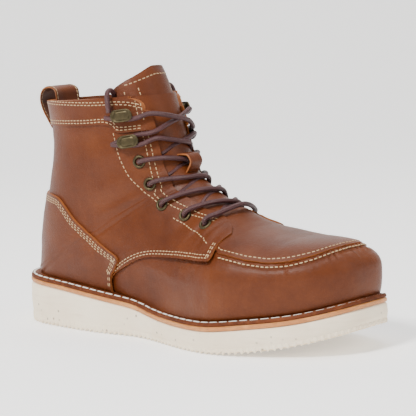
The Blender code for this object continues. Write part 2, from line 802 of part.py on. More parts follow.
def add_upper_pieces(upper):
    """The upper and the panels that are cut from its own skins."""
    back, front, low, high = around()
    wing = BALL_WIDTH
    throat = prism("cut_throat", throat_outline(0.0), 2, 0.0, high)
    flaps = prism("cut_flaps", flap_outline(), 2, 0.0, high)
    corner = prism("cut_corner", corner_outline(), 1, -wing, wing)
    counter_edge = panel_outline(COUNTER_EDGE, [(back, side_place(COUNTER_EDGE[-1])[1]), (back, low)])
    band_edge = panel_outline(BAND_EDGE, [(front, high), (back, high)])
    quarter_edge = panel_outline(QUARTER_EDGE, [(along(0.703), high), (back, high), (back, low)])
    beside_counter = prism("cut_beside_counter", grown(counter_edge, CLEAR), 1, -wing, wing)
    beside_band = prism("cut_beside_band", grown(band_edge, CLEAR), 1, -wing, wing)
    body = add_layer("upper", upper, -WALL, 0.0, "upper_leather")
    notch = [(back, low), (along(0.104), low), (along(0.104), 0.047), (back, 0.047)]
    boolean(body, prism("cut_under_counter", notch, 1, -wing, wing), "DIFFERENCE")
    boolean(body, throat, "DIFFERENCE")
    boolean(body, corner, "DIFFERENCE")
    for side, label in ((LATERAL, "lateral"), (MEDIAL, "medial")):
        reach = sorted((side * CLEAR / 2, side * wing))
        piece = add_layer(f"quarter_{label}", upper, CLEAR, CLEAR + PANEL, "upper_leather", lapped)
        boolean(piece, prism(f"cut_quarter_{label}", quarter_edge, 1, *reach), "INTERSECT")
        for cutter in (beside_counter, beside_band, flaps, corner):
            boolean(piece, cutter, "DIFFERENCE")
    counter = add_layer("heel_counter", upper, CLEAR, CLEAR + OVERLAY, "upper_leather", heel_room)
    boolean(counter, prism("cut_counter", counter_edge, 1, -wing, wing), "INTERSECT")
    band = add_layer("collar_band", upper, CLEAR, CLEAR + OVERLAY, "upper_leather")
    boolean(band, prism("cut_band", band_edge, 1, -wing, wing), "INTERSECT")
    boolean(band, flaps, "DIFFERENCE")
    boolean(band, corner, "DIFFERENCE")
    ring = [(along(x), (PLUG_SHIFT - y) * BALL_WIDTH) for x, y in PLUG_EDGE]
    ring += [(along(x), (PLUG_SHIFT + y) * BALL_WIDTH) for x, y in reversed(PLUG_EDGE)]
    plug = add_layer("moc_plug", upper, CLEAR, CLEAR + PANEL, "upper_leather")
    boolean(plug, prism("cut_plug", ring, 2, seat(0.0) + PLUG_FROM * SHAFT, high), "INTERSECT")


def add_tongue(upper):
    """A sheet that follows the instep right under the flaps, round at its top."""
    rows = [s for s, wide, drop in TONGUE_ROWS]
    spread = np.linspace(-1, 1, TONGUE_COLUMNS)
    points = []
    for distance in (TONGUE, 0.0):
        for s, wide, drop in TONGUE_ROWS:
            lift = -WALL - TONGUE_CLEAR - drop - distance
            points += [upper.crown(s, wide * TONGUE_WIDTH / 2 * v, lift) for v in spread]
    block = len(rows) * TONGUE_COLUMNS
    faces = []
    for i in range(len(rows) - 1):
        for j in range(TONGUE_COLUMNS - 1):
            corner = i * TONGUE_COLUMNS + j
            quad = (corner, corner + 1, corner + TONGUE_COLUMNS + 1, corner + TONGUE_COLUMNS)
            faces.append(quad)
            faces.append(tuple(block + k for k in reversed(quad)))
    edge = [j for j in range(TONGUE_COLUMNS)]
    edge += [i * TONGUE_COLUMNS + TONGUE_COLUMNS - 1 for i in range(1, len(rows))]
    edge += [block - 1 - j for j in range(1, TONGUE_COLUMNS)]
    edge += [i * TONGUE_COLUMNS for i in range(len(rows) - 2, 0, -1)]
    for i, a in enumerate(edge):
        b = edge[(i + 1) % len(edge)]
        faces.append((a, b, block + b, block + a))
    return add_object("tongue", points, faces, "tongue_leather")


def add_keeper(upper, middle):
    """A small leather bridge on the tongue that the lowest crossing but three runs through."""
    base = -WALL - TONGUE_CLEAR + 2 * CLEAR + KEEPER_THICK / 2
    path = [upper.crown(upper.slid(middle, run), 0.0, base + rise) for run, rise in KEEPER_PATH]
    line = curve_through(path, 13)
    run = np.gradient(line, axis=0)
    run /= np.linalg.norm(run, axis=1)[:, None]
    turn = np.stack([-run[:, 2], 0 * run[:, 0], run[:, 0]], 1) * KEEPER_THICK / 2
    rows = []
    for point, face in zip(line, turn):
        side = np.array([0.0, KEEPER_WIDTH / 2, 0.0])
        rows.append([point - side - face, point + side - face, point + side + face, point - side + face])
    return add_object("lace_keeper", *loft(rows), "tongue_leather")


def add_pull_loop():
    """A strap folded over the back of the collar."""
    back = seat(along(0.0))
    outer = along(SECTIONS[COLLAR_ROW][0]) - CLEAR - OVERLAY
    inner = along(SECTIONS[COLLAR_ROW][0]) + WALL
    rim = back + SECTIONS[COLLAR_ROW][1] * SHAFT
    out, reach = outer - CLEAR - LOOP_THICK / 2, LOOP_REACH
    path = [
        (out + 0.0016, rim - 0.0225),
        (out - 0.0030, rim - 0.0160),
        (out - 0.0080, rim - 0.0080),
        (out - reach, rim - 0.0005),
        (out - 0.0070, rim + 0.0062),
        (out + 0.0005, rim + 0.0085),
        (inner + 0.0005, rim + 0.0060),
        (inner + 0.0020, rim - 0.0005),
        (inner + 0.0033, rim - 0.0100),
    ]
    line = curve_through(path, LOOP_STEPS)
    run = np.gradient(line, axis=0)
    run /= np.linalg.norm(run, axis=1)[:, None]
    turn = np.stack([-run[:, 1], run[:, 0]], 1) * LOOP_THICK / 2
    rows = []
    for (x, z), (tx, tz) in zip(line, turn):
        ring = []
        for y, face in ((-1, -1), (0, -1), (1, -1), (1, 1), (0, 1), (-1, 1)):
            bow = LOOP_BOW * y * y
            ring.append((x + bow + face * tx, y * LOOP_WIDTH / 2, z + face * tz))
        rows.append(ring)
    return add_object("pull_loop", *loft(rows), "upper_leather")


def placed(point, normal, forward):
    """A matrix whose Z is this normal and whose X points forward along the surface."""
    z = Vector(normal).normalized()
    x = Vector(forward)
    x = (x - z * x.dot(z)).normalized()
    y = z.cross(x)
    turn = Matrix((x, y, z)).transposed().to_4x4()
    return Matrix.Translation(Vector(point)) @ turn


def panel_top(s, on_band=False):
    """Height of the outermost panel at this row, and a little clearance."""
    if on_band:
        return CLEAR + OVERLAY + CLEAR
    return CLEAR + PANEL + lapped(s) + CLEAR


def heel_room(s):
    """Extra room under the counter where the heel turns in to the welt."""
    return HEEL_ROOM * min(max(min(s - 7.6, 15.5 - s), 0.0), 1.0)


def add_eyelet(name, upper, side, place):
    """A ring round a lace hole."""
    s, y = upper.hole(side, place)
    point, normal = upper.crown_frame(s, y)
    centre = np.array(point) + np.array(normal) * panel_top(s)
    turn = placed(centre, normal, (1, 0, 0))
    inner, outer = EYELET_HOLE / 2, EYELET / 2
    profile = ((inner, 0.0), (outer, 0.0), (outer - EYELET_PLATE, EYELET_PLATE), (inner, EYELET_PLATE))
    count = EYELET_SIDES
    points, faces = [], []
    for i in range(count):
        angle = 2 * math.pi * i / count
        for radius, rise in profile:
            points.append(turn @ Vector((radius * math.cos(angle), radius * math.sin(angle), rise)))
        a, b = 4 * i, 4 * ((i + 1) % count)
        faces += [(a + j, a + (j + 1) % 4, b + (j + 1) % 4, b + j) for j in range(4)]
    return add_object(name, points, faces, "brass")


def add_hook(name, upper, side, place, on_band):
    """A lace hook: a base plate folded over into an oval top plate, open to the throat."""
    s, y = upper.hole(side, place)
    point, normal = upper.crown_frame(s, y)
    ahead = upper.crown(s, y - side * 0.004, 0.0) - upper.crown(s, y, 0.0)
    centre = np.array(point) + np.array(normal) * panel_top(s, on_band)
    turn = placed(centre, normal, ahead)
    half, plate, space = HOOK_LENGTH / 2, HOOK_PLATE, HOOK_SPACE
    web = -half + 2.2 * plate
    top = 2 * plate + space
    outline = ((half, 0), (half, plate), (web, plate), (web, plate + space), (half, plate + space))
    outline += ((half, top), (-half, top), (-half, 0))
    wide = HOOK_WIDTH / 2
    points = [turn @ Vector((a, w, b)) for w in (-wide, wide) for a, b in outline]
    size = len(outline)
    faces = [tuple(range(size)), tuple(range(2 * size - 1, size - 1, -1))]
    faces += [(i, (i + 1) % size, size + (i + 1) % size, size + i) for i in range(size)]
    hook = add_object(name, points, faces, "brass")
    ends = np.linspace(-math.pi / 2, math.pi / 2, 5)
    oval = [(half - wide + wide * math.cos(t), wide * math.sin(t)) for t in ends]
    oval += [(-a, -b) for a, b in oval]
    points = [turn @ Vector((a, b, c)) for c in (-plate, top + plate) for a, b in oval]
    size = len(oval)
    faces = [tuple(range(size)), tuple(range(2 * size - 1, size - 1, -1))]
    faces += [(i, (i + 1) % size, size + (i + 1) % size, size + i) for i in range(size)]
    boolean(hook, add_cutter("cut_" + name, points, faces), "INTERSECT")
    return hook


def tube(path, count, sides=6):
    """Points and faces of a round cord along a smooth path."""
    line = curve_through(path, count)
    run = np.gradient(line, axis=0)
    run /= np.linalg.norm(run, axis=1)[:, None]
    up = np.array([0.0, 0.0, 1.0])
    rows = []
    for point, ahead in zip(line, run):
        across = np.cross(up, ahead)
        across /= np.linalg.norm(across)
        over = np.cross(ahead, across)
        turns = [2 * math.pi * (k + 0.5) / sides for k in range(sides)]
        rows.append([point + LACE / 2 * (math.cos(t) * across + math.sin(t) * over) for t in turns])
    return loft(rows)


def lace_run(upper, low_end, high_end, middle):
    """A lace from low_end across the throat to high_end, each a row, half width and lift."""
    (s0, y0, lift0), (s1, y1, lift1) = low_end, high_end
    side = math.copysign(1.0, y1)
    edge = THROAT / 2
    step = s1 - s0
    path = [(s0, y0, lift0)]
    if abs(y0) > edge:
        path += [(s0 + 0.12 * step, -side * (edge - 0.001), lift0)]
    path += [(s0 + 0.34 * step, -side * 0.008, middle), (s0 + 0.5 * step, 0.0, middle)]
    path += [(s0 + 0.72 * step, side * 0.010, max(middle + 0.001, lift1 - 0.0022))]
    path += [(s0 + 0.9 * step, side * (edge - 0.001), lift1), (s1, y1, lift1)]
    return [upper.crown(s, y, lift) for s, y, lift in path]


def add_laces(upper):
    """The bar, the crossings and the two ends that fall into the shaft."""
    places = HOOKS + EYELETS
    holes = {side: [upper.hole(side, place) for place in places] for side in (LATERAL, MEDIAL)}
    low = -WALL - TONGUE_CLEAR + 3 * CLEAR + LACE / 2
    high = low + 0.86 * LACE
    stop = HOOK_LENGTH / 2 + LACE_STOP
    last = len(places) - 1
    (s0, y0), (s1, y1) = holes[LATERAL][last], holes[MEDIAL][last]
    top = panel_top(s0) + EYELET_PLATE + LACE / 2 + 2 * CLEAR
    ahead = upper.slid(s0, BAR_AHEAD)
    path = [(s0, y0, top), (ahead, -THROAT / 2, top), (ahead, 0.0, top - 0.0005)]
    path += [(ahead, THROAT / 2, top), (s1, y1, top)]
    add_object("lace_bar", *tube([upper.crown(s, y, lift) for s, y, lift in path], 9), "waxed_cord")
    for k in range(last):
        pair = []
        for side, middle in ((LATERAL, high), (MEDIAL, low)):
            s_low, y_low = holes[-side][k + 1]
            s_high, y_high = holes[side][k]
            lift = panel_top(s_high, k == 0) + LACE / 2 + (2 if k else 8) * CLEAR
            if k > 1:
                high_end = (s_high, y_high, lift + EYELET_PLATE)
            else:
                high_end = (upper.slid(s_high, HOOK_PASS), y_high - side * stop, lift)
            if k > 0:
                s_low -= 0.15 * (s_low - s_high)
                low_end = (s_low, -side * (THROAT / 2 - LACE / 2 - CLEAR), low)
            else:
                low_lift = panel_top(s_low, True) + LACE / 2 + 3 * CLEAR
                low_end = (upper.slid(s_low, -HOOK_PASS), y_low + side * stop, low_lift)
                middle += 0.004
            points, faces = tube(lace_run(upper, low_end, high_end, middle), 10)
            if side == LATERAL:
                pair.append(add_object(f"lace_cross_{k + 1}", points, faces, "waxed_cord"))
            else:
                pair.append(add_cutter(f"under_lace_{k + 1}", points, faces))
        boolean(pair[0], pair[1], "UNION")
        if k == 2:
            add_keeper(upper, (holes[LATERAL][2][0] + holes[LATERAL][3][0]) / 2)
    for side, label in ((LATERAL, "lateral"), (MEDIAL, "medial")):
        path = [(x, side * y, z) for x, y, z in LACE_END]
        add_object(f"lace_end_{label}", *tube(path, 10), "waxed_cord")


def main():
    clear_scene()
    add_outsole()
    add_plate("midsole", 0.0, lambda x: wedge_top(x) + CLEAR, midsole_top, "natural_leather")
    add_ring("welt", WELT_WIDTH, lambda x: midsole_top(x) + CLEAR, welt_top, "welt_leather")
    add_plate(
        "insole",
        lambda x: np.maximum(WELT_WIDTH + INSOLE_CLEAR, ledge(x) + WALL + INSOLE_SIDE),
        lambda x: midsole_top(x) + CLEAR,
        lambda x: welt_top(x) + INSOLE_STAND,
        "insole_leather",
    )
    upper = Upper()
    add_upper_pieces(upper)
    add_tongue(upper)
    add_pull_loop()
    for side, label in ((LATERAL, "lateral"), (MEDIAL, "medial")):
        for i, place in enumerate(EYELETS):
            add_eyelet(f"eyelet_{label}_{i + 1}", upper, side, place)
        for i, place in enumerate(HOOKS):
            add_hook(f"lace_hook_{label}_{i + 1}", upper, side, place, i == 0)
    add_laces(upper)


main()
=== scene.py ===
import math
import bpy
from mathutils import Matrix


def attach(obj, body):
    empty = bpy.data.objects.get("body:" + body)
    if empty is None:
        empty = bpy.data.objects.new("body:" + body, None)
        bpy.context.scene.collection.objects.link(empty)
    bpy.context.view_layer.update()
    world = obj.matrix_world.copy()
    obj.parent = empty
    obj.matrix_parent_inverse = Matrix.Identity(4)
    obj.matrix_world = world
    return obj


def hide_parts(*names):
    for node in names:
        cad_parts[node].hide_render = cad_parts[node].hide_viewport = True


bl_info = {
    "name": "Wedge Sole Work Boot",
    "version": (1, 0, 0),
    "blender": (4, 5, 0),
    "location": "View3D > Sidebar > Boot",
    "description": "Dresses the boot's frame in leather, stitching, laces, brass and a crepe wedge",
    "category": "Object",
}

import bmesh
import bpy
import numpy as np
from mathutils import Matrix, Vector
from mathutils.bvhtree import BVHTree

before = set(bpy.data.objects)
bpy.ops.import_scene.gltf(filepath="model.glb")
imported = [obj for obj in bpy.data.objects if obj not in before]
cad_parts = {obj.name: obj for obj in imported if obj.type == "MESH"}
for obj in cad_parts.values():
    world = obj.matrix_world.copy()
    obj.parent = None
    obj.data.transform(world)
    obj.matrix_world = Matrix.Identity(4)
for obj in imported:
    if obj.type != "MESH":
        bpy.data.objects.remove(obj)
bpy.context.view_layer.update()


# Driving sizes of the sole.
LENGTH = 0.308
BALL_WIDTH = 0.110
HEEL_THICK = 0.0314
BALL_THICK = 0.0155
TOE_SPRING = 0.0174
MIDSOLE = 0.0030
WELT = 0.0027
WELT_WIDTH = 0.0135
LUG_PITCH = 0.0125
LUG_GROOVE = 0.0042
INSOLE_STAND = 0.0022
INSOLE_CLEAR = 0.0012
INSOLE_SIDE = 0.0032
HEEL_CENTRING = 0.02

# Driving sizes of the upper.
SHAFT = 0.138
WALL = 0.0016
PANEL = 0.0016
OVERLAY = 0.0028
TONGUE = 0.0030
TONGUE_WIDTH = 0.054
THROAT = 0.036
LEDGE_HEEL = 0.0113
LEDGE_BALL = 0.0058
CLEAR = 0.0003
TONGUE_CLEAR = 0.0024
LOOP_WIDTH = 0.025
LOOP_THICK = 0.0016
LOOP_REACH = 0.0100
LOOP_BOW = 0.0024
TONGUE_ROWS = (
    # row, share of the half width, extra depth
    (0.0, 0.66, 0.0),
    (0.35, 0.88, 0.0),
    (0.8, 0.98, 0.0),
    (1.3, 1.0, 0.0),
    (2.0, 1.0, 0.0),
    (3.0, 1.0, 0.0),
    (4.0, 0.96, 0.0),
    (5.5, 0.90, 0.0),
    (7.5, 0.84, 0.0002),
    (11.0, 0.82, 0.0002),
    (14.0, 0.82, 0.0002),
    (15.5, 0.82, 0.0004),
    (17.0, 0.82, 0.0008),
    (18.2, 0.82, 0.0012),
    (19.0, 0.80, 0.0016),
)

# Driving sizes of the lacing.
LACE = 0.0038
EYELET = 0.0098
EYELET_HOLE = 0.0052
HOOK_LENGTH = 0.0170
HOOK_WIDTH = 0.0095
HOOK_PLATE = 0.0010
HOOK_SPACE = 0.0042
KEEPER_WIDTH = 0.013
KEEPER_THICK = 0.0016
BAR_AHEAD = 0.0015
HOOK_PASS = 0.0034

LATERAL, MEDIAL = -1.0, 1.0

# Outline of the sole: along as a share of LENGTH, across as a share of BALL_WIDTH.
OUTLINE = (
    # along, across
    (-0.0036, 0.000),
    (0.036, -0.242),
    (0.147, -0.341),
    (0.308, -0.366),
    (0.423, -0.347),
    (0.534, -0.422),
    (0.681, -0.514),
    (0.810, -0.442),
    (0.927, -0.295),
    (0.987, -0.090),
    (0.9993, 0.071),
    (0.994, 0.265),
    (0.920, 0.422),
    (0.795, 0.508),
    (0.666, 0.473),
    (0.536, 0.345),
    (0.406, 0.291),
    (0.276, 0.318),
    (0.130, 0.345),
    (0.039, 0.245),
)

# Wedge: share of the step from BALL_THICK up to HEEL_THICK, along the sole.
WEDGE = (
    # along, rise
    (0.00, 1.00),
    (0.19, 0.82),
    (0.39, 0.40),
    (0.52, 0.02),
    (0.65, 0.00),
    (0.78, 0.09),
    (0.91, 0.00),
    (1.00, -0.06),
)
SPRING_FROM = 0.661

# Half sections of the upper, from the tongue's top down the shaft, round the heel and
# along the foot. Back and front are the two ends of each section's middle line: along
# is a share of LENGTH, high a share of SHAFT. Below the shaft the back end runs along
# the feather, by its share of the feather's length. Lat and med are the greatest half
# widths over BALL_WIDTH, widest says where, as a share of the way from back to front,
# and the two powers round the curve behind and before it.
SECTIONS = (
    # back_along, back_high, front_along, front_high, lat, med, widest, power_back, power_front, shift
    (0.101, 1.112, 0.403, 1.226, 0.300, 0.300, 0.48, 2.3, 2.3, 0.000),
    (0.091, 0.967, 0.438, 1.087, 0.305, 0.305, 0.48, 2.3, 2.3, 0.000),
    (0.096, 0.851, 0.451, 1.019, 0.297, 0.297, 0.48, 2.2, 2.3, 0.000),
    (0.097, 0.728, 0.464, 0.936, 0.296, 0.296, 0.47, 2.2, 2.3, 0.000),
    (0.091, 0.604, 0.476, 0.861, 0.303, 0.303, 0.46, 2.2, 2.3, 0.000),
    (0.075, 0.457, 0.487, 0.792, 0.305, 0.305, 0.45, 2.2, 2.3, 0.000),
    (0.055, 0.310, 0.500, 0.739, 0.302, 0.302, 0.44, 2.2, 2.3, 0.000),
    (0.041, 0.163, 0.513, 0.704, 0.297, 0.297, 0.43, 2.2, 2.3, 0.000),
    (0.035, 0.075, 0.523, 0.687, 0.293, 0.293, 0.42, 2.2, 2.3, 0.000),
    (0.000, 0.000, 0.529, 0.678, 0.290, 0.290, 0.41, 2.2, 2.2, 0.000),
    (0.005, 0.000, 0.534, 0.669, 0.288, 0.288, 0.41, 2.0, 2.2, 0.000),
    (0.020, 0.000, 0.541, 0.659, 0.287, 0.287, 0.40, 1.8, 2.2, 0.000),
    (0.034, 0.000, 0.5455, 0.652, 0.287, 0.286, 0.395, 1.8, 2.2, 0.000),
    (0.051, 0.000, 0.550, 0.645, 0.288, 0.286, 0.39, 1.7, 2.2, 0.000),
    (0.103, 0.000, 0.563, 0.627, 0.291, 0.285, 0.38, 1.7, 2.2, 0.000),
    (0.171, 0.000, 0.579, 0.604, 0.295, 0.284, 0.37, 1.8, 2.2, 0.000),
    (0.240, 0.000, 0.597, 0.582, 0.301, 0.281, 0.36, 2.0, 2.2, 0.000),
    (0.308, 0.000, 0.613, 0.561, 0.310, 0.275, 0.35, 2.0, 2.2, 0.000),
    (0.377, 0.000, 0.630, 0.539, 0.325, 0.272, 0.35, 2.0, 2.2, 0.000),
    (0.446, 0.000, 0.645, 0.520, 0.345, 0.282, 0.35, 2.0, 2.1, 0.000),
    (0.514, 0.000, 0.659, 0.498, 0.385, 0.310, 0.36, 2.0, 2.1, 0.000),
    (0.576, 0.000, 0.674, 0.473, 0.427, 0.364, 0.37, 2.0, 2.1, 0.000),
    (0.631, 0.000, 0.692, 0.445, 0.463, 0.414, 0.38, 2.0, 2.2, 0.000),
    (0.686, 0.000, 0.716, 0.417, 0.488, 0.452, 0.40, 2.0, 2.3, 0.004),
    (0.741, 0.000, 0.747, 0.392, 0.486, 0.463, 0.42, 2.0, 2.5, 0.014),
    (0.789, 0.000, 0.786, 0.364, 0.469, 0.452, 0.44, 2.0, 2.6, 0.030),
    (0.837, 0.000, 0.826, 0.341, 0.445, 0.427, 0.45, 2.0, 2.7, 0.045),
)
COLLAR_ROW, FEATHER_ROW, LAST_ROW = 1, 9, len(SECTIONS) - 1
TOE_WIDEST, TOE_POWER, TOE_OVERHANG = 0.47, 3.0, 0.0030
LAP_FROM, LAP_OVER = 17.2, 1.6
UPRIGHT_TO, UPRIGHT_SHARE = 13, 0.45

# Panel edges seen from the side: along as a share of LENGTH, high as a share of SHAFT
# over the heel's welt. The flaps' edge is seen from above: across over BALL_WIDTH.
COUNTER_EDGE = (
    # along, high
    (0.340, -0.130),
    (0.334, 0.030),
    (0.350, 0.075),
    (0.364, 0.133),
    (0.330, 0.178),
    (0.292, 0.225),
    (0.221, 0.336),
    (0.190, 0.405),
    (0.172, 0.436),
    (0.130, 0.452),
    (0.070, 0.456),
    (0.066, 0.520),
    (0.058, 0.545),
)
BAND_EDGE = (
    # along, high
    (0.050, 0.822),
    (0.270, 0.838),
    (0.340, 0.846),
    (0.354, 0.836),
    (0.366, 0.812),
    (0.376, 0.806),
    (0.430, 0.815),
    (0.520, 0.826),
)
QUARTER_EDGE = (
    # along, high
    (0.318, -0.130),
    (0.330, 0.020),
    (0.380, 0.090),
    (0.422, 0.136),
    (0.462, 0.160),
    (0.560, 0.178),
    (0.675, 0.190),
    (0.690, 0.196),
    (0.694, 0.275),
    (0.704, 0.322),
    (0.703, 0.372),
)
FLAP_EDGE = (
    # along, across
    (0.655, 0.500),
    (0.672, 0.530),
    (0.690, 0.620),
    (0.702, 0.780),
    (0.712, 1.000),
)
COLLAR_CORNER = 0.009

# Lace holes down one side: row of SECTIONS and half width over BALL_WIDTH. The first two
# are hooks.
HOOKS = ((2.15, 0.245), (3.65, 0.245))
EYELETS = ((4.95, 0.232), (6.95, 0.214), (13.75, 0.213), (16.45, 0.214), (19.2, 0.227))

# The keeper's path down the tongue: distance from the crossing and rise over the tongue.
KEEPER_PATH = (
    # run, rise
    (-0.0120, 0.0),
    (-0.0085, 0.0004),
    (-0.0066, 0.0050),
    (-0.0034, 0.0102),
    (0.0034, 0.0102),
    (0.0062, 0.0050),
    (0.0074, 0.0004),
    (0.0086, 0.0),
)

# The lateral lace end, in metres: up from the top hook, over the collar, down the shaft.
LACE_END = (
    # x, away from the middle, z
    (-0.0420, 0.0372, 0.1640),
    (-0.0430, 0.0370, 0.1720),
    (-0.0445, 0.0350, 0.1785),
    (-0.0455, 0.0302, 0.1800),
    (-0.0465, 0.0262, 0.1765),
    (-0.0475, 0.0250, 0.1680),
    (-0.0480, 0.0248, 0.1500),
    (-0.0480, 0.0248, 0.1350),
)


def curve_through(points, count):
    """Points on a smooth open curve through these points."""
    points = np.asarray(points, float)
    steps = np.sqrt(np.linalg.norm(np.diff(points, axis=0), axis=1))
    knots = np.concatenate([[0.0], np.cumsum(steps)])
    slopes = np.gradient(points, knots, axis=0)
    at = np.linspace(0, knots[-1], count)
    span = np.clip(np.searchsorted(knots, at, side="right") - 1, 0, len(knots) - 2)
    width = (knots[span + 1] - knots[span])[:, None]
    t = ((at - knots[span]) / width[:, 0])[:, None]
    return (
        (2 * t**3 - 3 * t**2 + 1) * points[span]
        + (t**3 - 2 * t**2 + t) * width * slopes[span]
        + (3 * t**2 - 2 * t**3) * points[span + 1]
        + (t**3 - t**2) * width * slopes[span + 1]
    )


def closed_curve(points, count):
    """Points on a smooth closed curve: the periodic cubic through these points."""
    points = np.asarray(points, float)
    size = len(points)
    steps = np.sqrt(np.linalg.norm(np.roll(points, -1, axis=0) - points, axis=1))
    before = np.roll(steps, 1)
    system = np.zeros((size, size))
    system[range(size), range(size)] = 2 * (before + steps)
    for i in range(size):
        system[i, i - 1] = steps[i]
        system[i, (i + 1) % size] = before[i]
    chords = (np.roll(points, -1, axis=0) - points) / steps[:, None]
    right = 3 * (chords * before[:, None] + np.roll(chords, 1, axis=0) * steps[:, None])
    slopes = np.linalg.solve(system, right)
    knots = np.concatenate([[0.0], np.cumsum(steps)])
    at = np.linspace(0, knots[-1], count, endpoint=False)
    span = np.clip(np.searchsorted(knots, at, side="right") - 1, 0, size - 1)
    following = (span + 1) % size
    width = steps[span][:, None]
    t = ((at - knots[span]) / steps[span])[:, None]
    return (
        (2 * t**3 - 3 * t**2 + 1) * points[span]
        + (t**3 - 2 * t**2 + t) * width * slopes[span]
        + (3 * t**2 - 2 * t**3) * points[following]
        + (t**3 - t**2) * width * slopes[following]
    )


def along(share):
    """Position along the boot, with half the sole's length at zero."""
    return (share - 0.5) * LENGTH


def ledge(x):
    """Width of the welt that shows outside the upper."""
    low, high = along(0.31), along(0.40)
    step = np.clip((np.asarray(x, float) - low) / (high - low), 0, 1)
    return LEDGE_HEEL + (LEDGE_BALL - LEDGE_HEEL) * step * step * (3 - 2 * step)


def sole_outline(inset):
    """The sole's outline drawn in by this much, which may vary along the boot."""
    table = np.array(OUTLINE)
    loop = closed_curve(np.stack([along(table[:, 0]), table[:, 1] * BALL_WIDTH], 1), 480)
    run = np.roll(loop, -1, axis=0) - np.roll(loop, 1, axis=0)
    run /= np.linalg.norm(run, axis=1)[:, None]
    inward = np.stack([-run[:, 1], run[:, 0]], 1)
    depth = inset(loop[:, 0]) if callable(inset) else np.full(len(loop), float(inset))
    return loop + inward * depth[:, None]


def split_outline(inset):
    """Its lateral and medial edges, each from heel to toe."""
    loop = sole_outline(inset)
    heel = int(np.argmin(loop[:, 0]))
    loop = np.roll(loop, -heel, axis=0)
    toe = int(np.argmax(loop[:, 0]))
    return {LATERAL: loop[: toe + 1], MEDIAL: np.vstack([loop[toe:], loop[:1]])[::-1]}


def edge_at(edges, side, x):
    edge = edges[side]
    return np.interp(x, edge[:, 0], edge[:, 1])


def tread_height(x):
    start = along(SPRING_FROM)
    rise = np.clip((np.asarray(x, float) - start) / (LENGTH / 2 - start), 0, None)
    return TOE_SPRING * rise**2


def wedge_top(x):
    table = np.array(WEDGE)
    shares = curve_through(table, 60)
    rise = np.interp(x, along(shares[:, 0]), shares[:, 1])
    return tread_height(x) + BALL_THICK + (HEEL_THICK - BALL_THICK) * rise


def midsole_top(x):
    return wedge_top(x) + CLEAR + MIDSOLE


def welt_top(x):
    return midsole_top(x) + CLEAR + WELT


def seat(x):
    """Height of the upper's lower edge."""
    return welt_top(x) + CLEAR


def stations(edges, count):
    """Places along the boot, closer together at the round ends."""
    low = max(edges[LATERAL][0, 0], edges[MEDIAL][0, 0])
    high = min(edges[LATERAL][-1, 0], edges[MEDIAL][-1, 0])
    turn = (1 - np.cos(np.linspace(0, math.pi, count))) / 2
    return low + (high - low) * turn


def loft(rows):
    """Faces between closed sections with the same number of points, ends included."""
    size = len(rows[0])
    points = [p for row in rows for p in row]
    faces = [
        (i * size + j, i * size + (j + 1) % size, (i + 1) * size + (j + 1) % size, (i + 1) * size + j)
        for i in range(len(rows) - 1)
        for j in range(size)
    ]
    faces.append(tuple(range(size)))
    faces.append(tuple(range(len(points) - 1, len(points) - size - 1, -1)))
    return points, faces


